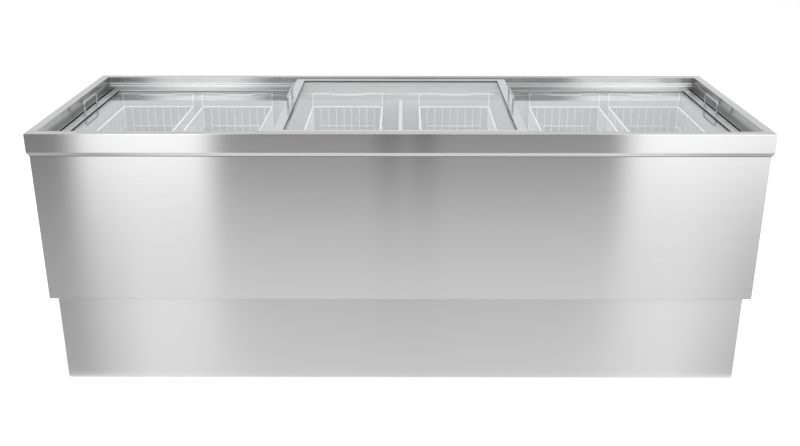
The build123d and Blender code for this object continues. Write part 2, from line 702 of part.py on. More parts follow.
# Cooling machine
def make_compressor():
    low = TRAY_TOP + GROMMET
    radius = COMPRESSOR_RADIUS
    shell = Pos(COMPRESSOR_X, COMPRESSOR_Y, low + COMPRESSOR_HEIGHT / 2) * Cylinder(radius, COMPRESSOR_HEIGHT)
    shell = fillet(shell.edges().group_by(Axis.Z)[-1], COMPRESSOR_CROWN)
    shell = fillet(shell.edges().group_by(Axis.Z)[0], COMPRESSOR_FOOT_RADIUS)
    foot_plate = RectangleRounded(*COMPRESSOR_PLATE, COMPRESSOR_PLATE_CORNER)
    place = Pos(COMPRESSOR_X, COMPRESSOR_Y, low + COMPRESSOR_PLATE_RAISED)
    shell = shell + place * extrude(foot_plate, COMPRESSOR_PLATE_SHEET)
    for height in (SUCTION_Z, DISCHARGE_Z):
        start = (COMPRESSOR_X + radius - PORT_ROOT, COMPRESSOR_Y, height)
        shell = shell + rod(start, (1, 0, 0), PIPE / 2 + PORT_WALL, PORT_ROOT + PORT_LENGTH)
    grommet_height = GROMMET + COMPRESSOR_PLATE_RAISED
    reach_x = COMPRESSOR_PLATE[0] / 2 - GROMMET_INSET
    reach_y = COMPRESSOR_PLATE[1] / 2 - GROMMET_INSET
    mounts = [
        rod((COMPRESSOR_X + dx, COMPRESSOR_Y + dy, TRAY_TOP), (0, 0, 1), GROMMET_RADIUS, grommet_height)
        for dx in (-reach_x, reach_x)
        for dy in (-reach_y, reach_y)
    ]
    return {"compressor": shell, "compressor_mounts": group(*mounts)}


def make_condenser():
    """A finned block: upright fins on a flat core, with end plates and two tube stubs."""
    x0, x1 = CONDENSER_X
    y0, y1 = CONDENSER_Y
    z0, z1 = CONDENSER_Z
    core = block(x0 + FIN_DEPTH, x1 - FIN_DEPTH, y0, y1, z0, z1)
    pitch = (y1 - y0 - FIN_SHEET) / FIN_COUNT
    fins = [
        block(x0, x1, y0 + n * pitch, y0 + n * pitch + FIN_SHEET, z0, z1) for n in range(FIN_COUNT + 1)
    ]
    foot = block(x0 + FIN_DEPTH, x1 - FIN_DEPTH, y0, y1, TRAY_TOP, z0)
    middle = (x0 + x1) / 2
    stubs = [rod((middle, y0 - STUB, z), (0, 1, 0), PIPE / 2, STUB) for z in (STUB_LOW_Z, STUB_HIGH_Z)]
    return {"condenser": core + fins + foot + stubs}


def make_fan():
    y0, y1 = CONDENSER_Y
    hub = (FAN_Y, FAN_Z)
    arm_width, arm_height = ARM
    cowl = block(COWL_X, CONDENSER_X[0], y0, y1, TRAY_TOP, COWL_TOP)
    cowl = cowl - rod((COWL_X, *hub), (1, 0, 0), FAN_RADIUS + FAN_TIP_GAP, CONDENSER_X[0] - COWL_X)
    for y in (FAN_Y - ARM_OUT, FAN_Y + ARM_OUT):
        cowl = cowl + block_across_x(MOTOR_X[0], COWL_X, y, FAN_Z, arm_width, arm_height)
    bridge_width = 2 * ARM_OUT + arm_width
    cowl = cowl + block_across_x(MOTOR_X[0] - ARM_BRIDGE, MOTOR_X[0], *hub, bridge_width, arm_height)
    motor = rod((MOTOR_X[0], *hub), (1, 0, 0), MOTOR_RADIUS, MOTOR_X[1] - MOTOR_X[0])
    motor = fillet(motor.edges().filter_by(GeomType.CIRCLE), MOTOR_EDGE_RADIUS)
    motor = motor + rod((MOTOR_X[1], *hub), (1, 0, 0), FAN_SHAFT, BLADE_X[1] - MOTOR_X[1])
    return {"fan_cowl": cowl, "fan_motor": motor, "fan_blade": make_blade()}


def make_blade():
    """A pressed fan: tilted blades round a hub that turns on the motor shaft."""
    depth = BLADE_X[1] - BLADE_X[0]
    root = FAN_HUB_RADIUS - BLADE_ROOT
    plate = Rot(BLADE_TILT, 0, 0) * Box(FAN_RADIUS - root, BLADE_WIDTH, BLADE_SHEET)
    plate = Pos((FAN_RADIUS + root) / 2, 0, 0) * plate
    blades = [Rot(0, 0, n * 360.0 / FAN_BLADES) * plate for n in range(FAN_BLADES)]
    fan = Cylinder(FAN_HUB_RADIUS, depth) + blades
    fan = fan & Cylinder(FAN_RADIUS, depth)
    fan = fan - Cylinder(FAN_SHAFT + SHAFT_CLEARANCE, depth)
    return Pos(sum(BLADE_X) / 2, FAN_Y, FAN_Z) * (Rot(0, 90, 0) * fan)


def make_pipes():
    port_x = COMPRESSOR_X + COMPRESSOR_RADIUS + PORT_LENGTH
    middle = sum(CONDENSER_X) / 2
    stub_y = CONDENSER_Y[0] - STUB
    turn_x = port_x + DISCHARGE_REACH
    discharge = tube_along(
        [
            (port_x, COMPRESSOR_Y, DISCHARGE_Z),
            (turn_x, COMPRESSOR_Y, DISCHARGE_Z),
            (turn_x, PIPE_LANE_Y, DISCHARGE_Z),
            (turn_x, PIPE_LANE_Y, STUB_HIGH_Z),
            (middle, PIPE_LANE_Y, STUB_HIGH_Z),
            (middle, stub_y, STUB_HIGH_Z),
        ],
        PIPE_BEND,
        PIPE / 2,
    )
    rise_x = port_x + SUCTION_REACH
    lane_z = COIL_TAIL_Z - SUCTION_LANE_DROP
    suction = tube_along(
        [
            (port_x, COMPRESSOR_Y, SUCTION_Z),
            (rise_x, COMPRESSOR_Y, SUCTION_Z),
            (rise_x, COMPRESSOR_Y, lane_z),
            (rise_x, COIL_OUTLET_Y, lane_z),
            (COIL_OUTLET_X, COIL_OUTLET_Y, lane_z),
            (COIL_OUTLET_X, COIL_OUTLET_Y, COIL_TAIL_Z),
        ],
        SUCTION_BEND,
        COIL_TUBE / 2,
    )
    drier = rod((DRIER_X[0], PIPE_LANE_Y, STUB_LOW_Z), (1, 0, 0), DRIER_RADIUS, DRIER_X[1] - DRIER_X[0])
    drier = fillet(drier.edges().filter_by(GeomType.CIRCLE), DRIER_EDGE_RADIUS)
    liquid = tube_along(
        [
            (middle, stub_y, STUB_LOW_Z),
            (middle, PIPE_LANE_Y, STUB_LOW_Z),
            (DRIER_X[1], PIPE_LANE_Y, STUB_LOW_Z),
        ],
        CAPILLARY_BEND,
        PIPE / 2,
    )
    capillary_x = DRIER_X[0] - CAPILLARY_REACH
    capillary_z = COIL_TAIL_Z - CAPILLARY_LANE_DROP
    capillary = tube_along(
        [
            (DRIER_X[0], PIPE_LANE_Y, STUB_LOW_Z),
            (capillary_x, PIPE_LANE_Y, STUB_LOW_Z),
            (capillary_x, PIPE_LANE_Y, capillary_z),
            (capillary_x, COIL_INLET_Y, capillary_z),
            (COIL_X, COIL_INLET_Y, capillary_z),
            (COIL_X, COIL_INLET_Y, COIL_TAIL_Z),
        ],
        CAPILLARY_BEND,
        CAPILLARY / 2,
    )
    return {"refrigerant_pipes": group(discharge, suction, liquid, drier, capillary)}


# Controls, inlet and drain
def make_controls():
    """A plate and box in the plinth's end, with a rocker's pocket and the thermostat's shaft."""
    plate = block_across_x(PLINTH_X, CONTROL_FACE_X, CONTROL_Y, CONTROL_Z, *CONTROL_PLATE)
    plate = fillet(plate.edges().filter_by(Axis.X), CONTROL_CORNER)
    plate = fillet(plate.faces().sort_by(Axis.X)[-1].edges(), CONTROL_EDGE)
    box_size = [size - 2 * CONTROL_LAP for size in CONTROL_PLATE]
    box = block_across_x(PLINTH_X - CONTROL_BOX_DEPTH, PLINTH_X, CONTROL_Y, CONTROL_Z, *box_size)
    pocket_size = [size + 2 * ROCKER_CLEARANCE for size in ROCKER_SIZE]
    pocket_x = CONTROL_FACE_X - ROCKER_POCKET_DEPTH
    pocket = block_across_x(pocket_x, CONTROL_FACE_X, ROCKER_Y, CONTROL_Z, *pocket_size)
    shaft = rod((CONTROL_FACE_X, KNOB_Y, CONTROL_Z), (1, 0, 0), KNOB_SHAFT, KNOB_SHAFT_LENGTH)
    return {
        "control_housing": plate + box - pocket + shaft,
        "thermostat_knob": make_knob(),
        "rocker_switch": make_rocker(),
    }


def make_knob():
    """A round skirt with a bar grip across it, bored for the thermostat's shaft."""
    back_x = CONTROL_FACE_X + FIT
    top_x = back_x + KNOB_DEPTH
    knob = rod((back_x, KNOB_Y, CONTROL_Z), (1, 0, 0), KNOB_RADIUS, KNOB_DEPTH)
    knob = fillet(knob.edges().group_by(Axis.X)[-1], KNOB_EDGE)
    for side in (-1, 1):
        y0, y1 = sorted((KNOB_Y + side * KNOB_GRIP_WIDTH / 2, KNOB_Y + side * KNOB_RADIUS))
        low = CONTROL_Z - KNOB_RADIUS
        high = CONTROL_Z + KNOB_RADIUS
        knob = knob - block(back_x + KNOB_SKIRT, top_x, y0, y1, low, high)
    bore = KNOB_SHAFT + SHAFT_CLEARANCE
    return knob - rod((back_x, KNOB_Y, CONTROL_Z), (1, 0, 0), bore, KNOB_DEPTH - KNOB_CROWN)


def make_rocker():
    """A rocker with a dished front that tips about a cross axis inside its pocket."""
    width, height = ROCKER_SIZE
    back_x = CONTROL_FACE_X - ROCKER_DEPTH
    body = block_across_x(back_x, CONTROL_FACE_X + ROCKER_PROUD, ROCKER_Y, CONTROL_Z, width, height)
    side_y = ROCKER_Y - width / 2
    pivot = (CONTROL_FACE_X - ROCKER_DEPTH / 2, side_y, CONTROL_Z)
    swept = rod(pivot, (0, 1, 0), height / 2 - ROCKER_TIP_GAP, width)
    dish_centre = (CONTROL_FACE_X + ROCKER_DISH_OUT, side_y, CONTROL_Z)
    return (body & swept) - rod(dish_centre, (0, 1, 0), ROCKER_DISH_RADIUS, width)


def make_inlet():
    """A three-pin mains inlet in the back of the plinth."""
    face_y = PLINTH_Y + INLET_FLANGE_SHEET
    floor_y = PLINTH_Y - INLET_DEPTH + INLET_BACK_WALL
    flange = block_across_y(INLET_X, INLET_Z, *INLET_FLANGE, PLINTH_Y, face_y)
    flange = fillet(flange.edges().filter_by(Axis.Y), INLET_CORNER)
    body_size = [size + 2 * INLET_WALL for size in INLET_CAVITY]
    body = block_across_y(INLET_X, INLET_Z, *body_size, PLINTH_Y - INLET_DEPTH, PLINTH_Y)
    inlet = flange + body - block_across_y(INLET_X, INLET_Z, *INLET_CAVITY, floor_y, face_y)
    for dx, dz in INLET_PINS:
        pin_y = PLINTH_Y - INLET_PIN_SHORT
        inlet = inlet + block_across_y(INLET_X + dx, INLET_Z + dz, *INLET_PIN, floor_y, pin_y)
    return {"mains_inlet": inlet}


def make_drain():
    """A pipe from the tub's floor out through the left-hand end, and the plug that closes it."""
    top = TUB_FLOOR - LINER_SHEET
    route = FilletPolyline(
        (DRAIN_X, 0, top),
        (DRAIN_X, 0, DRAIN_Z),
        (-PLINTH_X - DRAIN_SPIGOT, 0, DRAIN_Z),
        radius=DRAIN_BEND,
    )
    section = Circle(DRAIN_RADIUS) - Circle(DRAIN_BORE)
    pipe = sweep(route.location_at(0) * section, path=route)
    plug = rod((DRAIN_X, 0, TUB_FLOOR - PLUG_DEPTH), (0, 0, 1), DRAIN_BORE - PLUG_CLEARANCE, PLUG_DEPTH)
    head = rod((DRAIN_X, 0, TUB_FLOOR), (0, 0, 1), PLUG_HEAD_RADIUS, PLUG_HEAD)
    head = fillet(head.edges().group_by(Axis.Z)[-1], PLUG_EDGE)
    grip_length, grip_width, grip_height = PLUG_GRIP
    grip = Pos(DRAIN_X, 0, TUB_FLOOR + grip_height / 2) * Box(grip_length, grip_width, grip_height)
    return {"drain_pipe": pipe, "drain_plug": plug + head + grip}


# Lids
def ring(x0, x1, half_y, end_strip, long_strip, z0, z1):
    """A flat rectangular ring with its own strip widths at the ends and along the sides."""
    outer = block(x0, x1, -half_y, half_y, z0, z1)
    hole_y = half_y - long_strip
    return outer - block(x0 + end_strip, x1 - end_strip, -hole_y, hole_y, z0, z1)


def make_lid(name, x0, x1, half_y, top, strips):
    """One sliding lid: an aluminium frame, its pane and the rubber bead between them."""
    end_strip, long_strip = strips
    low = top - LID_THICKNESS
    frame = ring(x0, x1, half_y, end_strip, long_strip, low, top)
    frame = fillet(frame.edges().group_by(Axis.Z)[-1], FRAME_EDGE_RADIUS)
    bead_mid = top - GLASS_DROP - GLASS_THICKNESS / 2
    bead_z = (bead_mid - BEAD_HEIGHT / 2, bead_mid + BEAD_HEIGHT / 2)
    gx0 = x0 + end_strip - BEAD_IN_FRAME
    gx1 = x1 - end_strip + BEAD_IN_FRAME
    gy = half_y - long_strip + BEAD_IN_FRAME
    bead_width = BEAD_IN_FRAME + BEAD_SHOWN
    bead = ring(gx0, gx1, gy, bead_width, bead_width, *bead_z)
    px0 = x0 + end_strip - GLASS_EDGE_GRIP
    px1 = x1 - end_strip + GLASS_EDGE_GRIP
    py = half_y - long_strip + GLASS_EDGE_GRIP
    glass_z = (bead_mid - GLASS_THICKNESS / 2, bead_mid + GLASS_THICKNESS / 2)
    pane = block(px0, px1, -py, py, *glass_z)
    return {f"{name}_frame": frame - bead, f"{name}_glass": pane, f"{name}_seal": bead - pane}


def make_glides(x0, x1, y_range, z0, z1):
    """Four nylon blocks under a lid's long strips."""
    blocks = []
    for start in (x0 + GLIDE_END_GAP, x1 - GLIDE_END_GAP - GLIDE_LENGTH):
        for side in (-1, 1):
            ya, yb = sorted(side * y for y in y_range)
            blocks.append(block(start, start + GLIDE_LENGTH, ya, yb, z0, z1))
    return group(*blocks)


def make_handle(x, y, foot_z):
    """A bent wire pull along the depth of the lid, standing on two small collars."""
    half = HANDLE_CENTRES / 2
    high = foot_z + HANDLE_HEIGHT - HANDLE_WIRE / 2
    wire = tube_along(
        [(x, y - half, foot_z), (x, y - half, high), (x, y + half, high), (x, y + half, foot_z)],
        HANDLE_BEND,
        HANDLE_WIRE / 2,
    )
    for foot_y in (y - half, y + half):
        wire = wire + rod((x, foot_y, foot_z), (0, 0, 1), HANDLE_COLLAR / 2, HANDLE_COLLAR_HEIGHT)
    return wire


def make_lids():
    upper_top = HEIGHT - UPPER_LID_DROP
    lower_top = HEIGHT - LOWER_LID_DROP
    upper_low = upper_top - LID_THICKNESS
    lower_low = lower_top - LID_THICKNESS
    half = MIDDLE_LID_HALF_LENGTH
    nodes = make_lid("middle_lid", -half, half, UPPER_LID_HALF_DEPTH, upper_top, MIDDLE_STRIPS)
    sweep_x = half - MIDDLE_STRIPS[0] / 2
    sweep_y = LOWER_LID_HALF_DEPTH - GLIDE_MARGIN
    sweeps = [
        block(
            x - SWEEP_THICKNESS / 2,
            x + SWEEP_THICKNESS / 2,
            -sweep_y,
            sweep_y,
            lower_top + SWEEP_CLEARANCE,
            upper_low,
        )
        for x in (-sweep_x, sweep_x)
    ]
    nodes["middle_lid_seal"] = group(nodes["middle_lid_seal"], *sweeps)
    upper_glide_y = (HALF_Y - UPPER_TRACK_INSET + GLIDE_MARGIN, UPPER_LID_HALF_DEPTH - GLIDE_MARGIN)
    nodes["middle_lid_glides"] = make_glides(-half, half, upper_glide_y, HEIGHT - UPPER_TRACK_DROP, upper_low)
    nodes["middle_lid_handles"] = group(
        make_handle(-sweep_x, 0.0, upper_top), make_handle(sweep_x, 0.0, upper_top)
    )
    left = make_lid(
        "left_lid", -OUTER_LID_FAR, -OUTER_LID_NEAR, LOWER_LID_HALF_DEPTH, lower_top, OUTER_STRIPS
    )
    lower_glide_y = (HOOP_REST_Y + BASKET_HOOP_WIRE, LOWER_LID_HALF_DEPTH - GLIDE_MARGIN)
    left["left_lid_glides"] = make_glides(
        -OUTER_LID_FAR, -OUTER_LID_NEAR, lower_glide_y, LOWER_TRACK_Z, lower_low
    )
    left["left_lid_handle"] = make_handle(OUTER_HANDLE_EDGE - OUTER_LID_FAR, OUTER_HANDLE_SET_BACK, lower_top)
    nodes.update(left)
    for name, part in left.items():
        nodes[name.replace("left", "right")] = to_right(part)
    return nodes


# Baskets
def wire_grid(width, height, across, up, edge_wire, top_wire, skip_ends=False):
    """A flat net of wires: a bordered rectangle with one hole per gap, lying on its own plane."""
    columns = [-width / 2 + edge_wire + (width - 2 * edge_wire) * n / across for n in range(across + 1)]
    bars = [0.0, *up, height]
    net = Pos(0, height / 2) * Rectangle(width, height)
    holes = []
    for n in range(across):
        x0 = columns[n] + (BASKET_WIRE / 2 if n else 0.0)
        x1 = columns[n + 1] - (BASKET_WIRE / 2 if n < across - 1 else 0.0)
        end_gap = skip_ends and n in (0, across - 1)
        levels = [0.0, height] if end_gap else bars
        for low, high in zip(levels[:-1], levels[1:]):
            z0 = low + (BASKET_WIRE if low == 0.0 else BASKET_WIRE / 2)
            z1 = high - (top_wire if high == height else BASKET_WIRE / 2)
            holes.append(Pos((x0 + x1) / 2, (z0 + z1) / 2) * Rectangle(x1 - x0, z1 - z0))
    return net - holes


def make_hoop():
    """The back hanger: two posts and a top bar that rests on the track, drawn in for the hands."""
    wire = BASKET_HOOP_WIRE
    edge = BASKET_WIDTH / 2 - wire / 2
    wall_y = BASKET_LENGTH / 2 - wire / 2
    rest_z = LOWER_TRACK_Z
    posts = [
        block(
            x - wire / 2, x + wire / 2, wall_y - wire / 2, wall_y + wire / 2, BASKET_TOP, rest_z
        )
        for x in (-edge, edge)
    ]
    grip_y = HOOP_REST_Y - HOOP_GRIP_INWARD
    grip = HOOP_GRIP_HALF
    line = Polyline(
        (-edge, wall_y - wire / 2),
        (-edge, HOOP_REST_Y),
        (-grip - HOOP_GRIP_SLOPE, HOOP_REST_Y),
        (-grip, grip_y),
        (grip, grip_y),
        (grip + HOOP_GRIP_SLOPE, HOOP_REST_Y),
        (edge, HOOP_REST_Y),
        (edge, wall_y - wire / 2),
    )
    bar = extrude(Pos(0, 0, rest_z) * trace(line, wire), wire)
    return group(*posts, bar)


def make_basket():
    """A basket at the middle of the tub: four net walls, a net floor and a hanger at each end."""
    length = BASKET_LENGTH - 2 * BASKET_WIRE
    bands = [HEIGHT - drop - BASKET_BOTTOM for drop in reversed(BASKET_BANDS)]
    end_net = wire_grid(
        BASKET_WIDTH, BASKET_HEIGHT, BASKET_FRONT_GAPS, bands, BASKET_WIRE, BASKET_RIM_WIRE, skip_ends=True
    )
    side_net = wire_grid(length, BASKET_HEIGHT, BASKET_SIDE_GAPS, bands, BASKET_WIRE, BASKET_RIM_WIRE)
    width = BASKET_WIDTH - 2 * BASKET_WIRE
    floor_bars = [width * n / 4 for n in (1, 2, 3)]
    floor_net = wire_grid(length, width, BASKET_SIDE_GAPS, floor_bars, BASKET_WIRE, BASKET_WIRE)
    back_plane = Plane(
        origin=(0, BASKET_LENGTH / 2, BASKET_BOTTOM), x_dir=(1, 0, 0), z_dir=(0, -1, 0)
    )
    side_plane = Plane(origin=(BASKET_WIDTH / 2, 0, BASKET_BOTTOM), x_dir=(0, 1, 0), z_dir=(1, 0, 0))
    back = extrude(back_plane * end_net, BASKET_WIRE)
    side = extrude(side_plane * side_net, -BASKET_WIRE)
    floor_plane = Plane(origin=(width / 2, 0, BASKET_BOTTOM), x_dir=(0, 1, 0), z_dir=(0, 0, 1))
    floor = extrude(floor_plane * floor_net, BASKET_WIRE)
    hoop = make_hoop()
    return group(back, to_back(back), side, to_right(side), floor, hoop, to_back(hoop))


def make_baskets():
    basket = make_basket()
    return {f"basket_{n + 1}": Pos(x, 0, 0) * basket for n, x in enumerate(BASKET_CENTRES)}


def make_all():
    nodes = {}
    for maker in (
        make_rim,
        make_rails,
        make_end_seals,
        make_tub,
        make_insulation,
        make_coil,
        make_panels,
        make_floor_plate,
        make_plinth,
        make_screws,
        make_base,
        make_feet,
        make_compressor,
        make_condenser,
        make_fan,
        make_pipes,
        make_controls,
        make_inlet,
        make_drain,
        make_lids,
        make_baskets,
    ):
        nodes.update(maker())
    return nodes


os.makedirs("parts", exist_ok=True)
for node, shape in make_all().items():
    export_step(shape, f"parts/{node}.step")
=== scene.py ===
import math

import bmesh
import bpy
from mathutils import Matrix, Vector


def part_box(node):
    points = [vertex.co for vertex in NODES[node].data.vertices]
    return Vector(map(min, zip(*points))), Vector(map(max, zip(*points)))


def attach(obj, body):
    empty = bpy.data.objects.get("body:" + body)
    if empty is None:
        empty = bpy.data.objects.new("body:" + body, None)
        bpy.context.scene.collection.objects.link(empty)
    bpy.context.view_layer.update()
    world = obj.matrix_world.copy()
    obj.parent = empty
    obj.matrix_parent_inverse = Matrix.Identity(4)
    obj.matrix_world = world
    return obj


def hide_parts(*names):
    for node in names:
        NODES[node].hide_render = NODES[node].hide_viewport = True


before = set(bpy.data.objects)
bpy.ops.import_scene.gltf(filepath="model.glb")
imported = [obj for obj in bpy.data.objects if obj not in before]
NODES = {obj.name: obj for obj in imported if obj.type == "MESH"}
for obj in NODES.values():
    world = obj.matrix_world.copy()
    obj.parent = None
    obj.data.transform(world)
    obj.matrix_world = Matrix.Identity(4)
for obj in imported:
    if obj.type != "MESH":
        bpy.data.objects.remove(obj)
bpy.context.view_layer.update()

# The camera, in metres and degrees
CAMERA_PLACE = (0.009, -2.974, 1.515)
CAMERA_TILT = 69.11
CAMERA_TURN = 0.2
CAMERA_LENS = 43.4
SENSOR_WIDTH = 36.0

# Light levels: what the world gives, and what the plain background shows
SKY_LEVEL = 0.62
BACKGROUND_LEVEL = 1.0
FLOOR_HALF_SIZE = 30.0
FLOOR_COLOUR = (0.86, 0.86, 0.86)
FLOOR_LIFT = 0.45
PLAIN_WHITE = (1.0, 1.0, 1.0, 1.0)
# Softboxes: name, place, what each points at, width and height, and power in watts
SOFTBOXES = [
    ("overhead_softbox", (0.0, -0.3, 3.4), (0.0, 0.0, 0.5), (3.2, 1.8), 75.0),
    ("right_softbox", (2.6, -2.6, 1.6), (0.6, -0.4, 0.5), (1.2, 2.0), 40.0),
    ("left_softbox", (-2.6, -2.6, 1.6), (-0.6, -0.4, 0.5), (1.2, 2.0), 25.0),
]

# Studio sheets that the steel mirrors: a pale floor before a dark wall, which carries two bright panels and
# has two gaps between them. Places across the sheets are slopes of lines that fan out from a point behind the
# object.
FAN_POINT = 2.2
FAN_REACH = 0.76
SHEET_DISTANCE = 2.2
SHEET_FOOT = 0.003
WALL_LEVEL = 0.2
PANEL_LEVEL = 1.75
PANEL_EDGES = [(-0.352, -0.205), (0.245, 0.44)]
PANEL_SOFT = 0.03
GAP_EDGES = [(-0.027, -0.001), (0.012, 0.038)]
GAP_SOFT = 0.008
FLOOR_EDGES = (-0.34, 0.36)
FLOOR_SOFT = 0.08
FLOOR_SHEET_LEVEL = 1.08
FLOOR_SIDE_LEVEL = 0.65
# Rows of the sheets: distance in front, height, the wall's share in the level, and a gain
SHEET_ROWS = [
    (0.37, SHEET_FOOT, 0.0, 1.0),
    (1.9, SHEET_FOOT, 0.1, 0.9),
    (SHEET_DISTANCE, 0.1, 0.55, 0.8),
    (SHEET_DISTANCE, 0.3, 1.0, 1.0),
    (SHEET_DISTANCE, 0.8, 1.0, 1.0),
    (SHEET_DISTANCE, 1.05, 1.0, 1.6),
    (SHEET_DISTANCE, 1.25, 1.0, 1.4),
    (SHEET_DISTANCE, 1.55, 1.0, 1.3),
    (SHEET_DISTANCE, 2.6, 1.0, 1.2),
]
BACK_ROWS = 4
BACK_LEVEL = 0.85
BACK_PLAIN_FROM = 1.1
BACK_BLEND = 0.3
SIDE_DISTANCE = 3.4
SIDE_TOP = 2.6
# Bands of the side sheets: place along the sheet, and level
SIDE_BANDS = [(-2.2, 0.35), (-1.3, 0.4), (-0.6, 0.85), (0.0, 0.95), (0.5, 0.5), (1.3, 0.4), (2.2, 0.35)]

# Brushed steel: tones run from 0, black, to 1, white, and softness from 0, a mirror, to 1, chalk
STEEL_TONE = 0.62
STEEL_SOFTNESS = 0.19
TRACK_SOFTNESS = 0.32
END_TRACK_TONE = 0.5
END_TRACK_SOFTNESS = 0.4
PLINTH_SOFTNESS = 0.28
PLINTH_STREAK = 0.3
BRUSH_SPREAD = 1.0
BRUSH_LEAN = 0.1
# Its streaks: noise scales along and across the grain, shares in the pattern, and what they change
FINE_SCALES = (7.0, 1900.0)
BROAD_SCALES = (1.6, 160.0)
FINE_SHARE = 0.4
BROAD_SHARE = 0.1
STREAK_TONE = 0.013
STREAK_SOFTNESS = 0.02
STREAK_RELIEF = 0.05
STREAK_DEPTH = 0.000008
# Painted highlights on the tracks: heights where a lighter tone is painted, in metres
HIGHLIGHT_HEIGHTS = (0.769, 0.762)
HIGHLIGHT_HALF = 0.0008
HIGHLIGHT_TONE = 0.92

# Other finishes
FRAME_COLOUR = (0.74, 0.75, 0.76)
DIE_LINE_SCALES = (2.0, 700.0)
GLASS_COLOUR = (0.975, 0.985, 0.988)
GLASS_SHADE = (0.94, 0.955, 0.96, 1.0)
GLASS_INDEX = 1.45
MIDDLE_BEAD_TONE = 0.13
OUTER_BEAD_TONE = 0.26
BEAD_END_TONE = 0.015
BEAD_END_WIDTH = 0.02
BLACK_RUBBER_TONE = 0.012
# The sealant bead under the rim's lip is partly a painted shadow line.
SEALANT_SHADOW_TONE = 0.12
RUBBER_SHINE = 0.15
NYLON_COLOUR = (0.82, 0.82, 0.80)
DIVIDER_COLOUR = (0.55, 0.56, 0.57)
WHITE_PLASTIC_COLOUR = (0.80, 0.81, 0.815)
BLACK_PLASTIC_COLOUR = (0.03, 0.03, 0.032)
LINER_COLOUR = (0.56, 0.575, 0.59)
BREAKER_COLOUR = (0.46, 0.47, 0.48)

# Basket wires, in metres
BASKETS = ["basket_1", "basket_2", "basket_3", "basket_4", "basket_5", "basket_6"]
WALL_WIRE = 0.004
RIM_WIRE = 0.006
HOOP_WIRE = 0.005
END_GAPS = 9
SIDE_GAPS = 22
BAND_DROPS = (0.068, 0.143)
BASKET_DEPTH = 0.222
HOOP_OUT = 0.012
HOOP_GRIP_HALF = 0.052
HOOP_GRIP_SLOPE = 0.009
HOOP_GRIP_IN = 0.022
CORNER_BEND = 0.009
HOOP_BEND = 0.006
BEND_STEPS = 4
WIRE_SIDES = 8

# Small fittings, in metres and degrees
SCREW_HEIGHTS = (0.04, 0.25)
END_SCREW_Y = (-0.33, 0.33)
BACK_SCREW_X = (-1.0, -0.33, 0.33, 1.0)
SCREW_RADIUS = 0.005
SCREW_HEAD = 0.0022
SCREW_SEGMENTS = 28
RECESS = (0.0054, 0.0011, 0.0026)
SCREW_SEED = 4
CONTROL_FACE_X = 1.0285
KNOB_CENTRE = (-0.213, 0.19)
TICKS = 11
TICK_SWEEP = 270.0
TICK_RADIUS = 0.0212
TICK = (0.0006, 0.001, 0.0034)
POINTER = (0.0006, 0.0014, 0.009)
POINTER_UP = 0.0105
ROCKER_CENTRE = (-0.263, 0.19)
DISH_RADIUS = 0.018
DISH_OUT = 0.0205
MARK_UP = 0.0062
MARK_RADIUS = 0.0022
MARK_LINE = 0.0007
MARK_SKIN = 0.00015
MARK_SEGMENTS = 24
INLET_CENTRE = (0.7, 0.2)
INLET_PINS = ((-0.007, -0.002), (0.0, 0.002), (0.007, -0.002))
PIN_SIZE = (0.0022, 0.0152, 0.0042)
PIN_BEHIND = 0.0113
SHADOW_SEALANT_RADIUS = 0.0013
SHADOW_SEALANT_DROP = 0.0009
BULB_RADIUS = 0.004
BULB_SIDES = 20


# Shader building
def grey(tone):
    """A colour without hue."""
    return (tone, tone, tone)


def new_material(name, colour, roughness, metallic=0.0):
    """A material with one Principled shader, and that shader."""
    material = bpy.data.materials.new(name)
    material.use_nodes = True
    shader = material.node_tree.nodes["Principled BSDF"]
    shader.inputs["Base Color"].default_value = (*colour, 1.0)
    shader.inputs["Roughness"].default_value = roughness
    shader.inputs["Metallic"].default_value = metallic
    return material, shader


def add_node(owner, kind, **values):
    """A node of a material or the world, with some of its input sockets set by name."""
    node = owner.node_tree.nodes.new(kind)
    for name, value in values.items():
        node.inputs[name.replace("_", " ")].default_value = value
    return node


def wire_up(owner, source, target):
    """Links an output socket to an input socket."""
    owner.node_tree.links.new(source, target)


def calculated(owner, operation, *values):
    """What a Math node makes of sockets and plain numbers."""
    node = add_node(owner, "ShaderNodeMath")
    node.operation = operation
    for socket, value in zip(node.inputs, values):
        if isinstance(value, float):
            socket.default_value = value
        else:
            wire_up(owner, value, socket)
    return node.outputs["Value"]


def object_axis(material, axis):
    """One of the piece's own coordinates."""
    place = add_node(material, "ShaderNodeTexCoord")
    split = add_node(material, "ShaderNodeSeparateXYZ")
    wire_up(material, place.outputs["Object"], split.inputs["Vector"])
    return split.outputs[axis]


def object_noise(material, scale, stretch=(1.0, 1.0, 1.0), detail=3.0, roughness=0.55):
    """Noise on the piece's own coordinates, stretched along its axes."""
    place = add_node(material, "ShaderNodeTexCoord")
    mapping = add_node(material, "ShaderNodeMapping", Scale=stretch)
    noise = add_node(material, "ShaderNodeTexNoise", Scale=scale, Detail=detail, Roughness=roughness)
    wire_up(material, place.outputs["Object"], mapping.inputs["Vector"])
    wire_up(material, mapping.outputs["Vector"], noise.inputs["Vector"])
    return noise.outputs["Fac"]


def grain_noise(material, grain, scales):
    """Noise drawn out along one axis, given its scales along and across that axis."""
    along, across = scales
    return object_noise(material, 1.0, [along if axis == grain else across for axis in "XYZ"], detail=2.0)


def spread(owner, value, low, high, from_low=0.3, from_high=0.7):
    """A value spread between two limits."""
    node = add_node(
        owner, "ShaderNodeMapRange", From_Min=from_low, From_Max=from_high, To_Min=low, To_Max=high
    )
    wire_up(owner, value, node.inputs["Value"])
    return node.outputs["Result"]


def colour_input(node, name):
    """A Mix node's colour socket of that name."""
    return next(socket for socket in node.inputs if socket.type == "RGBA" and socket.name == name)


def blend_colours(material, value, first, second):
    """A colour between two, by a value from 0 to 1."""
    node = add_node(material, "ShaderNodeMix")
    node.data_type = "RGBA"
    colour_input(node, "A").default_value = (*first, 1.0)
    colour_input(node, "B").default_value = (*second, 1.0)
    wire_up(material, value, node.inputs["Factor"])
    return next(socket for socket in node.outputs if socket.type == "RGBA")


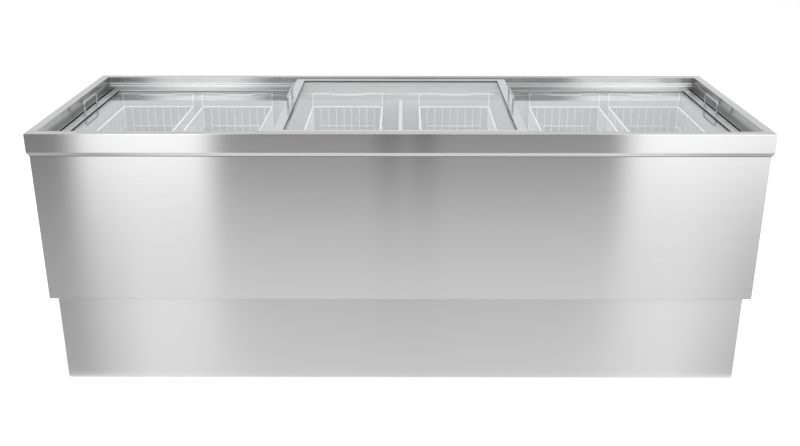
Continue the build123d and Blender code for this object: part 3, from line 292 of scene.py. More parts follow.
def colour_by(material, shader, value, first, second):
    """Colours the surface between two colours."""
    wire_up(material, blend_colours(material, value, first, second), shader.inputs["Base Color"])


def soften_by(material, shader, value, low, high, *limits):
    """Varies the shine between two softnesses."""
    wire_up(material, spread(material, value, low, high, *limits), shader.inputs["Roughness"])


def roughen(material, shader, value, strength, distance):
    """Small relief on the surface."""
    bump = add_node(material, "ShaderNodeBump", Strength=strength, Distance=distance)
    wire_up(material, value, bump.inputs["Height"])
    wire_up(material, bump.outputs["Normal"], shader.inputs["Normal"])


# Finishes
def painted_highlight_band(material, heights):
    """1 near two heights on a track, where a highlight is painted, and 0 away from them."""
    z = object_axis(material, "Z")
    bands = []
    for height in heights:
        away = calculated(material, "ABSOLUTE", calculated(material, "SUBTRACT", z, height))
        bands.append(spread(material, away, 1.0, 0.0, HIGHLIGHT_HALF, 2 * HIGHLIGHT_HALF))
    return calculated(material, "MAXIMUM", *bands)


def brushed_steel(name, grain, tone, softness, highlight_heights=(), streak=1.0):
    """Sheet brushed along one axis: fine streaks, reflections drawn out across them, and painted highlight
    bands at any heights given.
    """
    material, shader = new_material(name, grey(tone), softness, 1.0)
    shader.inputs["Anisotropic"].default_value = BRUSH_SPREAD
    fine = grain_noise(material, grain, FINE_SCALES)
    broad = grain_noise(material, grain, BROAD_SCALES)
    streaks = calculated(
        material,
        "ADD",
        spread(material, fine, -FINE_SHARE, FINE_SHARE),
        spread(material, broad, -BROAD_SHARE, BROAD_SHARE),
    )
    limit = FINE_SHARE + BROAD_SHARE
    share = spread(material, streaks, 0.0, 1.0, -limit, limit)
    change = STREAK_TONE * streak
    shade = blend_colours(material, share, grey(tone - change), grey(tone + change))
    # Painted highlight: a lighter tone in narrow bands at the given heights.
    if highlight_heights:
        lighter = blend_colours(material, painted_highlight_band(material, highlight_heights), grey(tone), grey(HIGHLIGHT_TONE))
        wire_up(material, shade, colour_input(lighter.node, "A"))
        shade = lighter
    wire_up(material, shade, shader.inputs["Base Color"])
    change = STREAK_SOFTNESS * streak
    soften_by(material, shader, streaks, softness - change, softness + change, -limit, limit)
    leaning = "Y" if grain == "X" else "X"
    tangent = add_node(material, "ShaderNodeCombineXYZ", **{leaning: BRUSH_LEAN, "Z": 1.0})
    wire_up(material, tangent.outputs["Vector"], shader.inputs["Tangent"])
    roughen(material, shader, fine, STREAK_RELIEF * streak, STREAK_DEPTH)
    return material


def satin_aluminium(name, colour, grain):
    """Anodised extrusion: faint die lines along its length."""
    material, shader = new_material(name, colour, 0.26, 1.0)
    lines = grain_noise(material, grain, DIE_LINE_SCALES)
    darker = tuple(0.93 * c for c in colour)
    colour_by(material, shader, spread(material, lines, 0.0, 1.0), darker, colour)
    soften_by(material, shader, lines, 0.2, 0.32)
    roughen(material, shader, lines, strength=0.08, distance=0.00005)
    return material


def clear_glass():
    """Toughened pane: clear, with lamp light passing through it."""
    material, shader = new_material("clear_pane", GLASS_COLOUR, 0.0)
    shader.inputs["Transmission Weight"].default_value = 1.0
    shader.inputs["IOR"].default_value = GLASS_INDEX
    smear = object_noise(material, scale=9.0, detail=4.0)
    soften_by(material, shader, smear, 0.0, 0.008, 0.45, 0.75)
    path = add_node(material, "ShaderNodeLightPath")
    passing = calculated(material, "MAXIMUM", path.outputs["Is Shadow Ray"], path.outputs["Is Diffuse Ray"])
    open_pane = add_node(material, "ShaderNodeBsdfTransparent", Color=GLASS_SHADE)
    mix = add_node(material, "ShaderNodeMixShader")
    wire_up(material, passing, mix.inputs["Fac"])
    wire_up(material, shader.outputs["BSDF"], mix.inputs[1])
    wire_up(material, open_pane.outputs["BSDF"], mix.inputs[2])
    surface = material.node_tree.nodes["Material Output"].inputs["Surface"]
    wire_up(material, mix.outputs["Shader"], surface)
    return material


def rubber_surface(name, tone, shine):
    """Extruded rubber with hardly any shine: its material and shader, and the noise of its grain."""
    material, shader = new_material(name, grey(tone), 0.75)
    shader.inputs["Specular IOR Level"].default_value = shine
    grain = object_noise(material, scale=900.0, detail=2.0)
    soften_by(material, shader, grain, 0.65, 0.85)
    roughen(material, shader, grain, strength=0.2, distance=0.0001)
    return material, shader, grain


def dull_rubber(name, tone, shine=RUBBER_SHINE):
    """Rubber of one tone, mottled by its grain."""
    material, shader, grain = rubber_surface(name, tone, shine)
    colour_by(material, shader, grain, grey(0.8 * tone), grey(1.2 * tone))
    return material


def black_ended_rubber(name, tone, end_tone):
    """The outer lids' bead: grey along the pane, and black towards the cabinet's ends."""
    material, shader, _ = rubber_surface(name, tone, RUBBER_SHINE)
    end_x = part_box("right_lid_seal")[1].x
    outwards = calculated(material, "ABSOLUTE", object_axis(material, "X"))
    near_end = spread(material, outwards, 0.0, 1.0, end_x - BEAD_END_WIDTH, end_x - BEAD_END_WIDTH / 2)
    colour_by(material, shader, near_end, grey(tone), grey(end_tone))
    return material


def moulded_plastic(name, colour, roughness):
    """Injection-moulded plastic with a fine spark-eroded texture."""
    material, shader = new_material(name, colour, roughness)
    grain = object_noise(material, scale=1300.0, detail=2.0)
    cloud = object_noise(material, scale=14.0)
    lighter = tuple(min(1.0, c * 1.06 + 0.004) for c in colour)
    colour_by(material, shader, cloud, colour, lighter)
    soften_by(material, shader, grain, roughness - 0.05, roughness + 0.08)
    roughen(material, shader, grain, strength=0.15, distance=0.00008)
    return material


def stoved_enamel(name, colour):
    """Enamelled sheet: faint orange peel and a slow drift in tone."""
    material, shader = new_material(name, colour, 0.32)
    peel = object_noise(material, scale=260.0, detail=2.0)
    cloud = object_noise(material, scale=3.0)
    deeper = tuple(0.96 * c for c in colour)
    colour_by(material, shader, cloud, deeper, colour)
    soften_by(material, shader, peel, 0.26, 0.4)
    roughen(material, shader, peel, strength=0.06, distance=0.0003)
    return material


def white_coating():
    """Plastic coating on the basket wires: smooth, slightly uneven in thickness."""
    material, shader = new_material("white_coating", (0.86, 0.87, 0.88), 0.35)
    uneven = object_noise(material, scale=120.0, detail=2.0)
    cloud = object_noise(material, scale=5.0)
    colour_by(material, shader, cloud, (0.88, 0.885, 0.89), (0.92, 0.925, 0.93))
    soften_by(material, shader, uneven, 0.28, 0.42)
    roughen(material, shader, uneven, strength=0.15, distance=0.0003)
    return material


def chrome_plate():
    """Plated wire with a slight haze."""
    material, shader = new_material("chrome_plate", (0.62, 0.62, 0.63), 0.08, 1.0)
    haze = object_noise(material, scale=60.0)
    colour_by(material, shader, haze, (0.56, 0.56, 0.57), (0.68, 0.68, 0.69))
    soften_by(material, shader, haze, 0.05, 0.12)
    return material


def rigid_foam():
    """Blown insulation with its cells showing."""
    material, shader = new_material("rigid_foam", (0.80, 0.70, 0.46), 0.9)
    cells = object_noise(material, scale=420.0, detail=4.0)
    colour_by(material, shader, cells, (0.70, 0.60, 0.37), (0.86, 0.77, 0.53))
    roughen(material, shader, cells, strength=0.6, distance=0.001)
    return material


def bare_copper():
    """Copper pipe, tarnished in patches."""
    material, shader = new_material("bare_copper", (0.72, 0.40, 0.27), 0.3, 1.0)
    tarnish = object_noise(material, scale=30.0, detail=4.0)
    colour_by(material, shader, tarnish, (0.52, 0.27, 0.18), (0.80, 0.46, 0.33))
    soften_by(material, shader, tarnish, 0.22, 0.48)
    return material


def zinc_plate():
    """Galvanised sheet with its crystal spangle."""
    material, shader = new_material("zinc_plate", (0.55, 0.56, 0.57), 0.45, 1.0)
    place = add_node(material, "ShaderNodeTexCoord")
    crystals = add_node(material, "ShaderNodeTexVoronoi", Scale=90.0)
    tone = add_node(material, "ShaderNodeSeparateColor")
    wire_up(material, place.outputs["Object"], crystals.inputs["Vector"])
    wire_up(material, crystals.outputs["Color"], tone.inputs["Color"])
    colour_by(material, shader, tone.outputs["Red"], (0.48, 0.49, 0.50), (0.62, 0.63, 0.64))
    soften_by(material, shader, tone.outputs["Green"], 0.36, 0.55, 0.0, 1.0)
    return material


def gloss_enamel():
    """Sprayed black enamel on the compressor and the fan's motor."""
    material, shader = new_material("gloss_black_enamel", (0.02, 0.02, 0.022), 0.22)
    peel = object_noise(material, scale=180.0, detail=2.0)
    colour_by(material, shader, peel, (0.015, 0.015, 0.017), (0.03, 0.03, 0.032))
    soften_by(material, shader, peel, 0.18, 0.3)
    roughen(material, shader, peel, strength=0.1, distance=0.0003)
    return material


def fin_stock():
    """The condenser's thin aluminium, dusty in patches."""
    material, shader = new_material("fin_stock", (0.62, 0.63, 0.64), 0.42, 1.0)
    dust = object_noise(material, scale=40.0, detail=4.0)
    colour_by(material, shader, dust, (0.50, 0.50, 0.49), (0.68, 0.69, 0.70))
    soften_by(material, shader, dust, 0.35, 0.6)
    return material


def finish_node(material, *names):
    """Gives CAD nodes their material."""
    for name in names:
        mesh = NODES[name].data
        mesh.materials.clear()
        mesh.materials.append(material)


def finish_steel():
    """The casing, the rim, the plinth and the tracks."""
    along_x = brushed_steel("steel_brushed_along_x", "X", STEEL_TONE, STEEL_SOFTNESS)
    along_y = brushed_steel("steel_brushed_along_y", "Y", STEEL_TONE, STEEL_SOFTNESS)
    track_x = brushed_steel("track_brushed_along_x", "X", STEEL_TONE, TRACK_SOFTNESS, HIGHLIGHT_HEIGHTS)
    track_y = brushed_steel("track_brushed_along_y", "Y", END_TRACK_TONE, END_TRACK_SOFTNESS)
    plinth_x = brushed_steel("plinth_brushed_along_x", "X", STEEL_TONE, PLINTH_SOFTNESS, streak=PLINTH_STREAK)
    plinth_y = brushed_steel("plinth_brushed_along_y", "Y", STEEL_TONE, PLINTH_SOFTNESS, streak=PLINTH_STREAK)
    finish_node(along_x, "rim_front", "rim_back", "front_panel", "back_panel")
    finish_node(along_y, "rim_left", "rim_right", "left_panel", "right_panel")
    finish_node(track_x, "front_rail", "back_rail")
    finish_node(track_y, "left_end_rail", "right_end_rail")
    finish_node(plinth_x, "plinth_front", "plinth_back")
    finish_node(plinth_y, "plinth_left", "plinth_right")


def finish_lids(plated, rubber):
    """The lids with their pulls, and the strips that they close against."""
    aluminium = satin_aluminium("lid_frame_aluminium", FRAME_COLOUR, "X")
    nylon = moulded_plastic("white_nylon", NYLON_COLOUR, 0.4)
    outer_bead = black_ended_rubber("two_tone_rubber", OUTER_BEAD_TONE, BEAD_END_TONE)
    finish_node(aluminium, "left_lid_frame", "middle_lid_frame", "right_lid_frame")
    finish_node(clear_glass(), "left_lid_glass", "middle_lid_glass", "right_lid_glass")
    finish_node(dull_rubber("grey_rubber", MIDDLE_BEAD_TONE), "middle_lid_seal")
    finish_node(outer_bead, "left_lid_seal", "right_lid_seal")
    finish_node(rubber, "end_seals")
    finish_node(nylon, "left_lid_glides", "middle_lid_glides", "right_lid_glides")
    finish_node(plated, "left_lid_handle", "right_lid_handle", "middle_lid_handles")


def finish_inside(plated, white, rubber):
    """The tub, the cooling machine, the controls and what holds them."""
    finish_node(stoved_enamel("liner_enamel", LINER_COLOUR), "tub_liner")
    finish_node(stoved_enamel("breaker_enamel", BREAKER_COLOUR), "breaker_strip")
    finish_node(moulded_plastic("grey_plastic", DIVIDER_COLOUR, 0.42), "tub_divider")
    finish_node(white, "drain_pipe", "drain_plug")
    finish_node(rigid_foam(), "insulation")
    finish_node(bare_copper(), "evaporator_coil", "refrigerant_pipes")
    finish_node(zinc_plate(), "floor_plate", "base_frame")
    finish_node(gloss_enamel(), "compressor", "fan_motor")
    finish_node(rubber, "compressor_mounts")
    finish_node(fin_stock(), "condenser")
    finish_node(plated, "panel_screws")
    black = moulded_plastic("black_moulding", BLACK_PLASTIC_COLOUR, 0.5)
    finish_node(black, "fan_cowl", "fan_blade", "levelling_feet", "mains_inlet")
    finish_node(black, "control_housing", "thermostat_knob", "rocker_switch")


# Geometry Nodes
def new_tree(name, inputs, output):
    """An empty tree with named inputs and one output, and the nodes that stand for them."""
    tree = bpy.data.node_groups.new(name, "GeometryNodeTree")
    for label, kind in inputs.items():
        tree.interface.new_socket(label, in_out="INPUT", socket_type=f"NodeSocket{kind}")
    tree.interface.new_socket(output, in_out="OUTPUT", socket_type="NodeSocketGeometry")
    return tree, tree.nodes.new("NodeGroupInput"), tree.nodes.new("NodeGroupOutput")


def end_tree(tree, copies, given, result):
    """Makes the copies real and puts the finish on them."""
    solid = tree.nodes.new("GeometryNodeRealizeInstances")
    paint = tree.nodes.new("GeometryNodeSetMaterial")
    tree.links.new(copies, solid.inputs["Geometry"])
    tree.links.new(solid.outputs["Geometry"], paint.inputs["Geometry"])
    tree.links.new(given.outputs["Finish"], paint.inputs["Material"])
    tree.links.new(paint.outputs["Geometry"], result.inputs[0])


def aimed_copies(tree, given, shape, pivot):
    """A copy of a shape on every place, its Z axis along the place's own way."""
    facing = tree.nodes.new("GeometryNodeInputNamedAttribute")
    facing.data_type = "FLOAT_VECTOR"
    facing.inputs["Name"].default_value = "facing"
    aim = tree.nodes.new("FunctionNodeAlignRotationToVector")
    aim.axis = "Z"
    aim.pivot_axis = pivot
    copies = tree.nodes.new("GeometryNodeInstanceOnPoints")
    tree.links.new(facing.outputs["Attribute"], aim.inputs["Vector"])
    tree.links.new(given.outputs["Places"], copies.inputs["Points"])
    tree.links.new(shape, copies.inputs["Instance"])
    tree.links.new(aim.outputs["Rotation"], copies.inputs["Rotation"])
    return copies.outputs["Instances"]


def wire_row_tree():
    """Nodes that turn a bent line into a round wire and repeat it in a row."""
    inputs = {
        "Line": "Geometry",
        "Count": "Int",
        "Step": "Vector",
        "Wire Radius": "Float",
        "Bend Radius": "Float",
        "Sides": "Int",
        "Finish": "Material",
    }
    tree, given, result = new_tree("wire_row", inputs, "Wires")
    nodes = tree.nodes
    link = tree.links.new
    line = nodes.new("GeometryNodeMeshToCurve")
    bends = nodes.new("GeometryNodeFilletCurve")
    bends.mode = "POLY"
    bends.inputs["Count"].default_value = BEND_STEPS
    bends.inputs["Limit Radius"].default_value = True
    section = nodes.new("GeometryNodeCurvePrimitiveCircle")
    wire = nodes.new("GeometryNodeCurveToMesh")
    wire.inputs["Fill Caps"].default_value = True
    row = nodes.new("GeometryNodeMeshLine")
    copies = nodes.new("GeometryNodeInstanceOnPoints")
    smooth = nodes.new("GeometryNodeSetShadeSmooth")
    link(given.outputs["Line"], line.inputs["Mesh"])
    link(line.outputs["Curve"], bends.inputs["Curve"])
    link(given.outputs["Bend Radius"], bends.inputs["Radius"])
    link(given.outputs["Sides"], section.inputs["Resolution"])
    link(given.outputs["Wire Radius"], section.inputs["Radius"])
    link(bends.outputs["Curve"], wire.inputs["Curve"])
    link(section.outputs["Curve"], wire.inputs["Profile Curve"])
    link(given.outputs["Count"], row.inputs["Count"])
    link(given.outputs["Step"], row.inputs["Offset"])
    link(row.outputs["Mesh"], copies.inputs["Points"])
    link(wire.outputs["Mesh"], copies.inputs["Instance"])
    link(copies.outputs["Instances"], smooth.inputs["Geometry"])
    end_tree(tree, smooth.outputs["Geometry"], given, result)
    return tree


def screw_tree():
    """Nodes that set a domed head with a cross recess on every point, facing the point's own way."""
    inputs = {
        "Places": "Geometry",
        "Ball Radius": "Float",
        "Ball Place": "Vector",
        "Keep Size": "Vector",
        "Keep Place": "Vector",
        "Recess Size": "Vector",
        "Recess Place": "Vector",
        "Seed": "Int",
        "Finish": "Material",
    }
    tree, given, result = new_tree("cross_head_screws", inputs, "Screws")
    nodes = tree.nodes
    link = tree.links.new

    def placed(mesh, place, turn=(0.0, 0.0, 0.0)):
        move = nodes.new("GeometryNodeTransform")
        move.inputs["Rotation"].default_value = turn
        link(mesh, move.inputs["Geometry"])
        link(given.outputs[place], move.inputs["Translation"])
        return move.outputs["Geometry"]

    def sized_block(size):
        block = nodes.new("GeometryNodeMeshCube")
        link(given.outputs[size], block.inputs["Size"])
        return block.outputs["Mesh"]

    ball = nodes.new("GeometryNodeMeshUVSphere")
    ball.inputs["Segments"].default_value = SCREW_SEGMENTS
    ball.inputs["Rings"].default_value = SCREW_SEGMENTS
    link(given.outputs["Ball Radius"], ball.inputs["Radius"])
    dome = nodes.new("GeometryNodeMeshBoolean")
    dome.operation = "INTERSECT"
    link(placed(ball.outputs["Mesh"], "Ball Place"), dome.inputs["Mesh 2"])
    link(placed(sized_block("Keep Size"), "Keep Place"), dome.inputs["Mesh 2"])
    head = nodes.new("GeometryNodeMeshBoolean")
    head.operation = "DIFFERENCE"
    quarter = (0.0, 0.0, math.radians(90.0))
    link(dome.outputs["Mesh"], head.inputs["Mesh 1"])
    link(placed(sized_block("Recess Size"), "Recess Place"), head.inputs["Mesh 2"])
    link(placed(sized_block("Recess Size"), "Recess Place", quarter), head.inputs["Mesh 2"])
    stop = nodes.new("FunctionNodeRandomValue")
    stop.data_type = "FLOAT_VECTOR"
    stop.inputs["Max"].default_value = quarter
    link(given.outputs["Seed"], stop.inputs["Seed"])
    tighten = nodes.new("GeometryNodeRotateInstances")
    link(aimed_copies(tree, given, head.outputs["Mesh"], "AUTO"), tighten.inputs["Instances"])
    link(stop.outputs["Value"], tighten.inputs["Rotation"])
    end_tree(tree, tighten.outputs["Instances"], given, result)
    return tree


def block_tree():
    """Nodes that set a small block on every point, its height along the point's own way."""
    inputs = {"Places": "Geometry", "Size": "Vector", "Finish": "Material"}
    tree, given, result = new_tree("small_blocks", inputs, "Blocks")
    block = tree.nodes.new("GeometryNodeMeshCube")
    tree.links.new(given.outputs["Size"], block.inputs["Size"])
    end_tree(tree, aimed_copies(tree, given, block.outputs["Mesh"], "X"), given, result)
    return tree


def set_inputs(modifier, tree, values):
    """Sets a modifier's inputs, found by their names in the tree."""
    for item in tree.interface.items_tree:
        if item.in_out == "INPUT" and item.name in values:
            modifier[item.identifier] = values[item.name]


def grown(name, mesh, tree, values):
    """The plain mesh that a node tree makes from a starting mesh."""
    holder = bpy.data.objects.new(name, mesh)
    bpy.context.scene.collection.objects.link(holder)
    modifier = holder.modifiers.new("build", "NODES")
    modifier.node_group = tree
    set_inputs(modifier, tree, values)
    graph = bpy.context.evaluated_depsgraph_get()
    made = bpy.data.meshes.new_from_object(holder.evaluated_get(graph))
    bpy.data.objects.remove(holder)
    return made


def bent_line(points, closed=False):
    """A line mesh through points."""
    mesh = bpy.data.meshes.new("line")
    edges = [(n, n + 1) for n in range(len(points) - 1)]
    if closed:
        edges.append((len(points) - 1, 0))
    mesh.from_pydata(points, edges, [])
    return mesh


def facing_points(places):
    """A mesh of points, each with the way it faces."""
    mesh = bpy.data.meshes.new("places")
    mesh.from_pydata([place for place, _ in places], [], [])
    facing = mesh.attributes.new("facing", "FLOAT_VECTOR", "POINT")
    facing.data.foreach_set("vector", [part for _, way in places for part in way])
    return mesh


def wire_mesh(tree, finish, line, radius, bend, sides=WIRE_SIDES, count=1, step=(0, 0, 0)):
    """Round wire along a line, repeated in a row."""
    values = {
        "Count": count,
        "Step": step,
        "Wire Radius": radius,
        "Bend Radius": bend,
        "Sides": sides,
        "Finish": finish,
    }
    return grown("wire", line, tree, values)


def joined(name, meshes):
    """One mesh from several that share a material."""
    whole = bmesh.new()
    for mesh in meshes:
        whole.from_mesh(mesh)
    made = bpy.data.meshes.new(name)
    whole.to_mesh(made)
    whole.free()
    made.materials.append(meshes[0].materials[0])
    return made


def piece(name, mesh, body):
    """A finished piece that rides on a body."""
    thing = bpy.data.objects.new(name, mesh)
    bpy.context.scene.collection.objects.link(thing)
    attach(thing, body)
    return thing


# Baskets
def basket_mesh(tree, coating):
    """One basket round X = 0: U-shaped wires both ways, bands, a rim and two hangers."""
    low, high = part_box("basket_1")
    half_x = (high.x - low.x) / 2
    hoop_y = high.y - HOOP_WIRE / 2
    wall_y = hoop_y - HOOP_OUT
    floor_z = low.z + WALL_WIRE / 2
    rim_z = low.z + BASKET_DEPTH - RIM_WIRE / 2
    hoop_z = high.z - HOOP_WIRE / 2
    wire_x = half_x - WALL_WIRE / 2
    wire_y = wall_y + HOOP_WIRE / 2 - WALL_WIRE / 2
    rows = []

    def row(points, wire=WALL_WIRE, bend=CORNER_BEND, closed=False, **repeats):
        rows.append(wire_mesh(tree, coating, bent_line(points, closed), wire / 2, bend, **repeats))

    first_y = wire_y - 2 * WALL_WIRE
    row(
        [(-wire_x, -first_y, rim_z), (-wire_x, -first_y, floor_z),
         (wire_x, -first_y, floor_z), (wire_x, -first_y, rim_z)],
        count=SIDE_GAPS + 1,
        step=(0, 2 * first_y / SIDE_GAPS, 0),
    )
    first_x = wire_x - WALL_WIRE / 2
    step_x = 2 * first_x / END_GAPS
    row(
        [(-first_x, -wire_y, rim_z), (-first_x, -wire_y, floor_z),
         (-first_x, wire_y, floor_z), (-first_x, wire_y, rim_z)],
        count=END_GAPS + 1,
        step=(step_x, 0, 0),
    )
    bands = {"count": len(BAND_DROPS), "step": (0, 0, BAND_DROPS[0] - BAND_DROPS[1])}
    band_z = rim_z - BAND_DROPS[0]
    band_x = first_x - step_x
    post_x = half_x - HOOP_WIRE / 2
    slope_x = HOOP_GRIP_HALF + HOOP_GRIP_SLOPE
    for side in (-1, 1):
        row([(side * wire_x, -first_y, band_z), (side * wire_x, first_y, band_z)], **bands)
        row([(-band_x, side * wire_y, band_z), (band_x, side * wire_y, band_z)], **bands)
        post_y = side * wall_y
        rest_y = side * hoop_y
        grip_y = side * (hoop_y - HOOP_GRIP_IN)
        row(
            [(-post_x, post_y, rim_z), (-post_x, post_y, hoop_z), (-post_x, rest_y, hoop_z),
             (-slope_x, rest_y, hoop_z), (-HOOP_GRIP_HALF, grip_y, hoop_z), (HOOP_GRIP_HALF, grip_y, hoop_z),
             (slope_x, rest_y, hoop_z), (post_x, rest_y, hoop_z), (post_x, post_y, hoop_z),
             (post_x, post_y, rim_z)],
            HOOP_WIRE,
            HOOP_BEND,
        )
    rim_x = half_x - RIM_WIRE / 2
    rim_y = wall_y + HOOP_WIRE / 2 - RIM_WIRE / 2
    row(
        [(-rim_x, -rim_y, rim_z), (rim_x, -rim_y, rim_z), (rim_x, rim_y, rim_z), (-rim_x, rim_y, rim_z)],
        RIM_WIRE,
        closed=True,
    )
    return joined("basket", rows)


def make_baskets(wire_tree):
    """Baskets of round wire, in place of the CAD's nets."""
    shape = basket_mesh(wire_tree, white_coating())
    for node in BASKETS:
        low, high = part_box(node)
        mesh = shape.copy()
        mesh.transform(Matrix.Translation(((low.x + high.x) / 2, 0.0, 0.0)))
        wires = piece(f"{node}_wires", mesh, node)
        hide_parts(node)


# Small fittings
def make_screws(finish):
    """Screws round the plinth, where the CAD has plain heads."""
    _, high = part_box("panel_screws")
    end_x = high.x - SCREW_HEAD
    back_y = high.y - SCREW_HEAD
    places = []
    for z in SCREW_HEIGHTS:
        for y in END_SCREW_Y:
            places.append(((-end_x, y, z), (-1.0, 0.0, 0.0)))
            places.append(((end_x, y, z), (1.0, 0.0, 0.0)))
        places.extend(((x, back_y, z), (0.0, 1.0, 0.0)) for x in BACK_SCREW_X)
    ball = (SCREW_RADIUS ** 2 + SCREW_HEAD ** 2) / (2 * SCREW_HEAD)
    values = {
        "Ball Radius": ball,
        "Ball Place": (0.0, 0.0, SCREW_HEAD - ball),
        "Keep Size": (4 * SCREW_RADIUS, 4 * SCREW_RADIUS, 2 * SCREW_HEAD),
        "Keep Place": (0.0, 0.0, SCREW_HEAD),
        "Recess Size": RECESS,
        "Recess Place": (0.0, 0.0, SCREW_HEAD),
        "Seed": SCREW_SEED,
        "Finish": finish,
    }
    mesh = grown("screws", facing_points(places), screw_tree(), values)
    heads = piece("cross_head_screws", mesh, "cabinet")
    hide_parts("panel_screws")


def make_blocks(tree, name, places, size, finish, body):
    """A piece of equal small blocks."""
    values = {"Size": size, "Finish": finish}
    piece(name, grown(name, facing_points(places), tree, values), body)


def mark_on_dish(y, z):
    """The two points, below and above the skin, of a mark on the rocker's dished front."""
    out = CONTROL_FACE_X + DISH_OUT - math.sqrt(DISH_RADIUS ** 2 - z ** 2)
    centre_y, centre_z = ROCKER_CENTRE
    return [(out + skin, centre_y + y, centre_z + z) for skin in (-MARK_SKIN, MARK_SKIN)]


def make_rocker_marks(finish):
    """The bar and the ring that tell on from off."""
    half = MARK_LINE / 2
    top = MARK_UP + MARK_RADIUS
    foot = MARK_UP - MARK_RADIUS
    corners = []
    for y, z in ((-half, foot), (half, foot), (half, top), (-half, top)):
        corners.extend(mark_on_dish(y, z))
    faces = [(0, 2, 4, 6), (1, 3, 5, 7), (0, 2, 3, 1), (2, 4, 5, 3), (4, 6, 7, 5), (6, 0, 1, 7)]
    first = len(corners)
    for n in range(MARK_SEGMENTS):
        angle = 2 * math.pi * n / MARK_SEGMENTS
        for radius in (MARK_RADIUS, MARK_RADIUS - MARK_LINE):
            corners.extend(mark_on_dish(radius * math.cos(angle), radius * math.sin(angle) - MARK_UP))
        a = first + 4 * n
        b = first + 4 * ((n + 1) % MARK_SEGMENTS)
        faces.extend([(a, b, b + 1, a + 1), (a + 2, b + 2, b + 3, a + 3)])
        faces.extend([(a, b, b + 2, a + 2), (a + 1, b + 1, b + 3, a + 3)])
    mesh = bpy.data.meshes.new("rocker_marks")
    mesh.from_pydata(corners, [], faces)
    whole = bmesh.new()
    whole.from_mesh(mesh)
    bmesh.ops.recalc_face_normals(whole, faces=whole.faces)
    whole.to_mesh(mesh)
    whole.free()
    mesh.materials.append(finish)
    piece("rocker_marks", mesh, "rocker_switch")


def make_control_marks(tree, finish):
    """Ticks round the knob, the knob's pointer and the rocker's marks."""
    centre_y, centre_z = KNOB_CENTRE
    ticks = []
    for n in range(TICKS):
        angle = math.radians(TICK_SWEEP * n / (TICKS - 1))
        way = (0.0, -math.sin(angle), math.cos(angle))
        place = (CONTROL_FACE_X, centre_y + TICK_RADIUS * way[1], centre_z + TICK_RADIUS * way[2])
        ticks.append((place, way))
    make_blocks(tree, "dial_ticks", ticks, TICK, finish, "cabinet")
    knob_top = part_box("thermostat_knob")[1].x
    tip = [((knob_top, centre_y, centre_z + POINTER_UP), (0.0, 0.0, 1.0))]
    make_blocks(tree, "knob_pointer", tip, POINTER, finish, "thermostat_knob")
    make_rocker_marks(finish)


def make_inlet_pins(tree, finish):
    """Plated sleeves on the inlet's pins."""
    centre_x, centre_z = INLET_CENTRE
    middle_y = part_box("plinth_back")[1].y - PIN_BEHIND
    pins = [((centre_x + dx, middle_y, centre_z + dz), (0.0, 0.0, 1.0)) for dx, dz in INLET_PINS]
    make_blocks(tree, "inlet_pin_sleeves", pins, PIN_SIZE, finish, "cabinet")


def make_sealant_shadow_line(tree, finish):
    """A dark sealant bead between the rim's lip and the panels, which also stands in for the shadow under the
    lip as a painted shadow line.
    """
    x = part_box("right_panel")[1].x
    y = -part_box("front_panel")[0].y
    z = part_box("rim_front")[0].z - SHADOW_SEALANT_DROP
    line = bent_line([(-x, -y, z), (x, -y, z), (x, y, z), (-x, y, z)], closed=True)
    mesh = wire_mesh(tree, finish, line, SHADOW_SEALANT_RADIUS, 2 * SHADOW_SEALANT_RADIUS)
    piece("lip_sealant_shadow_line", mesh, "cabinet")


def make_end_bulbs(tree, finish):
    """Round bulbs on the end seals, level with the outer lids' frames."""
    low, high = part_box("end_seals")
    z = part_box("left_lid_frame")[1].z - BULB_RADIUS
    bulbs = []
    for x in (low.x + BULB_RADIUS, high.x - BULB_RADIUS):
        line = bent_line([(x, low.y, z), (x, high.y, z)])
        bulbs.append(wire_mesh(tree, finish, line, BULB_RADIUS, 0.0, BULB_SIDES))
    piece("end_seal_bulbs", joined("end_seal_bulbs", bulbs), "cabinet")


def make_fittings(wire_tree, plated, white, rubber):
    """Small pieces that the CAD leaves out or has in a plainer form."""
    blocks = block_tree()
    make_screws(plated)
    make_control_marks(blocks, white)
    make_inlet_pins(blocks, plated)
    # Dark sealant bead, partly a painted shadow line under the rim's lip.
    make_sealant_shadow_line(wire_tree, dull_rubber("grey_sealant_shadow_line", SEALANT_SHADOW_TONE))
    make_end_bulbs(wire_tree, rubber)


# Stage, light and camera
def shown_rays(owner):
    """1 for the rays that show the background: to the camera, in a mirror or through glass."""
    path = add_node(owner, "ShaderNodeLightPath")
    direct = calculated(owner, "MAXIMUM", path.outputs["Is Camera Ray"], path.outputs["Is Glossy Ray"])
    return calculated(owner, "MAXIMUM", direct, path.outputs["Is Transmission Ray"])


def make_floor():
    """A pale floor that shows white where nothing shades it."""
    size = FLOOR_HALF_SIZE
    corners = [(-size, -size, 0), (size, -size, 0), (size, size, 0), (-size, size, 0)]
    mesh = bpy.data.meshes.new("floor")
    mesh.from_pydata(corners, [], [(0, 1, 2, 3)])
    floor = bpy.data.objects.new("floor", mesh)
    bpy.context.scene.collection.objects.link(floor)
    material, shader = new_material("pale_floor", FLOOR_COLOUR, 1.0)
    shader.inputs["Specular IOR Level"].default_value = 0.0
    shader.inputs["Emission Color"].default_value = PLAIN_WHITE
    lift = calculated(material, "MULTIPLY", shown_rays(material), FLOOR_LIFT)
    wire_up(material, lift, shader.inputs["Emission Strength"])
    mesh.materials.append(material)


def make_world():
    """Even white light from all round, and a white background."""
    world = bpy.data.worlds.new("studio")
    bpy.context.scene.world = world
    world.use_nodes = True
    back = world.node_tree.nodes["Background"]
    back.inputs["Color"].default_value = PLAIN_WHITE
    level = spread(world, shown_rays(world), SKY_LEVEL, BACKGROUND_LEVEL, 0.0, 1.0)
    wire_up(world, level, back.inputs["Strength"])


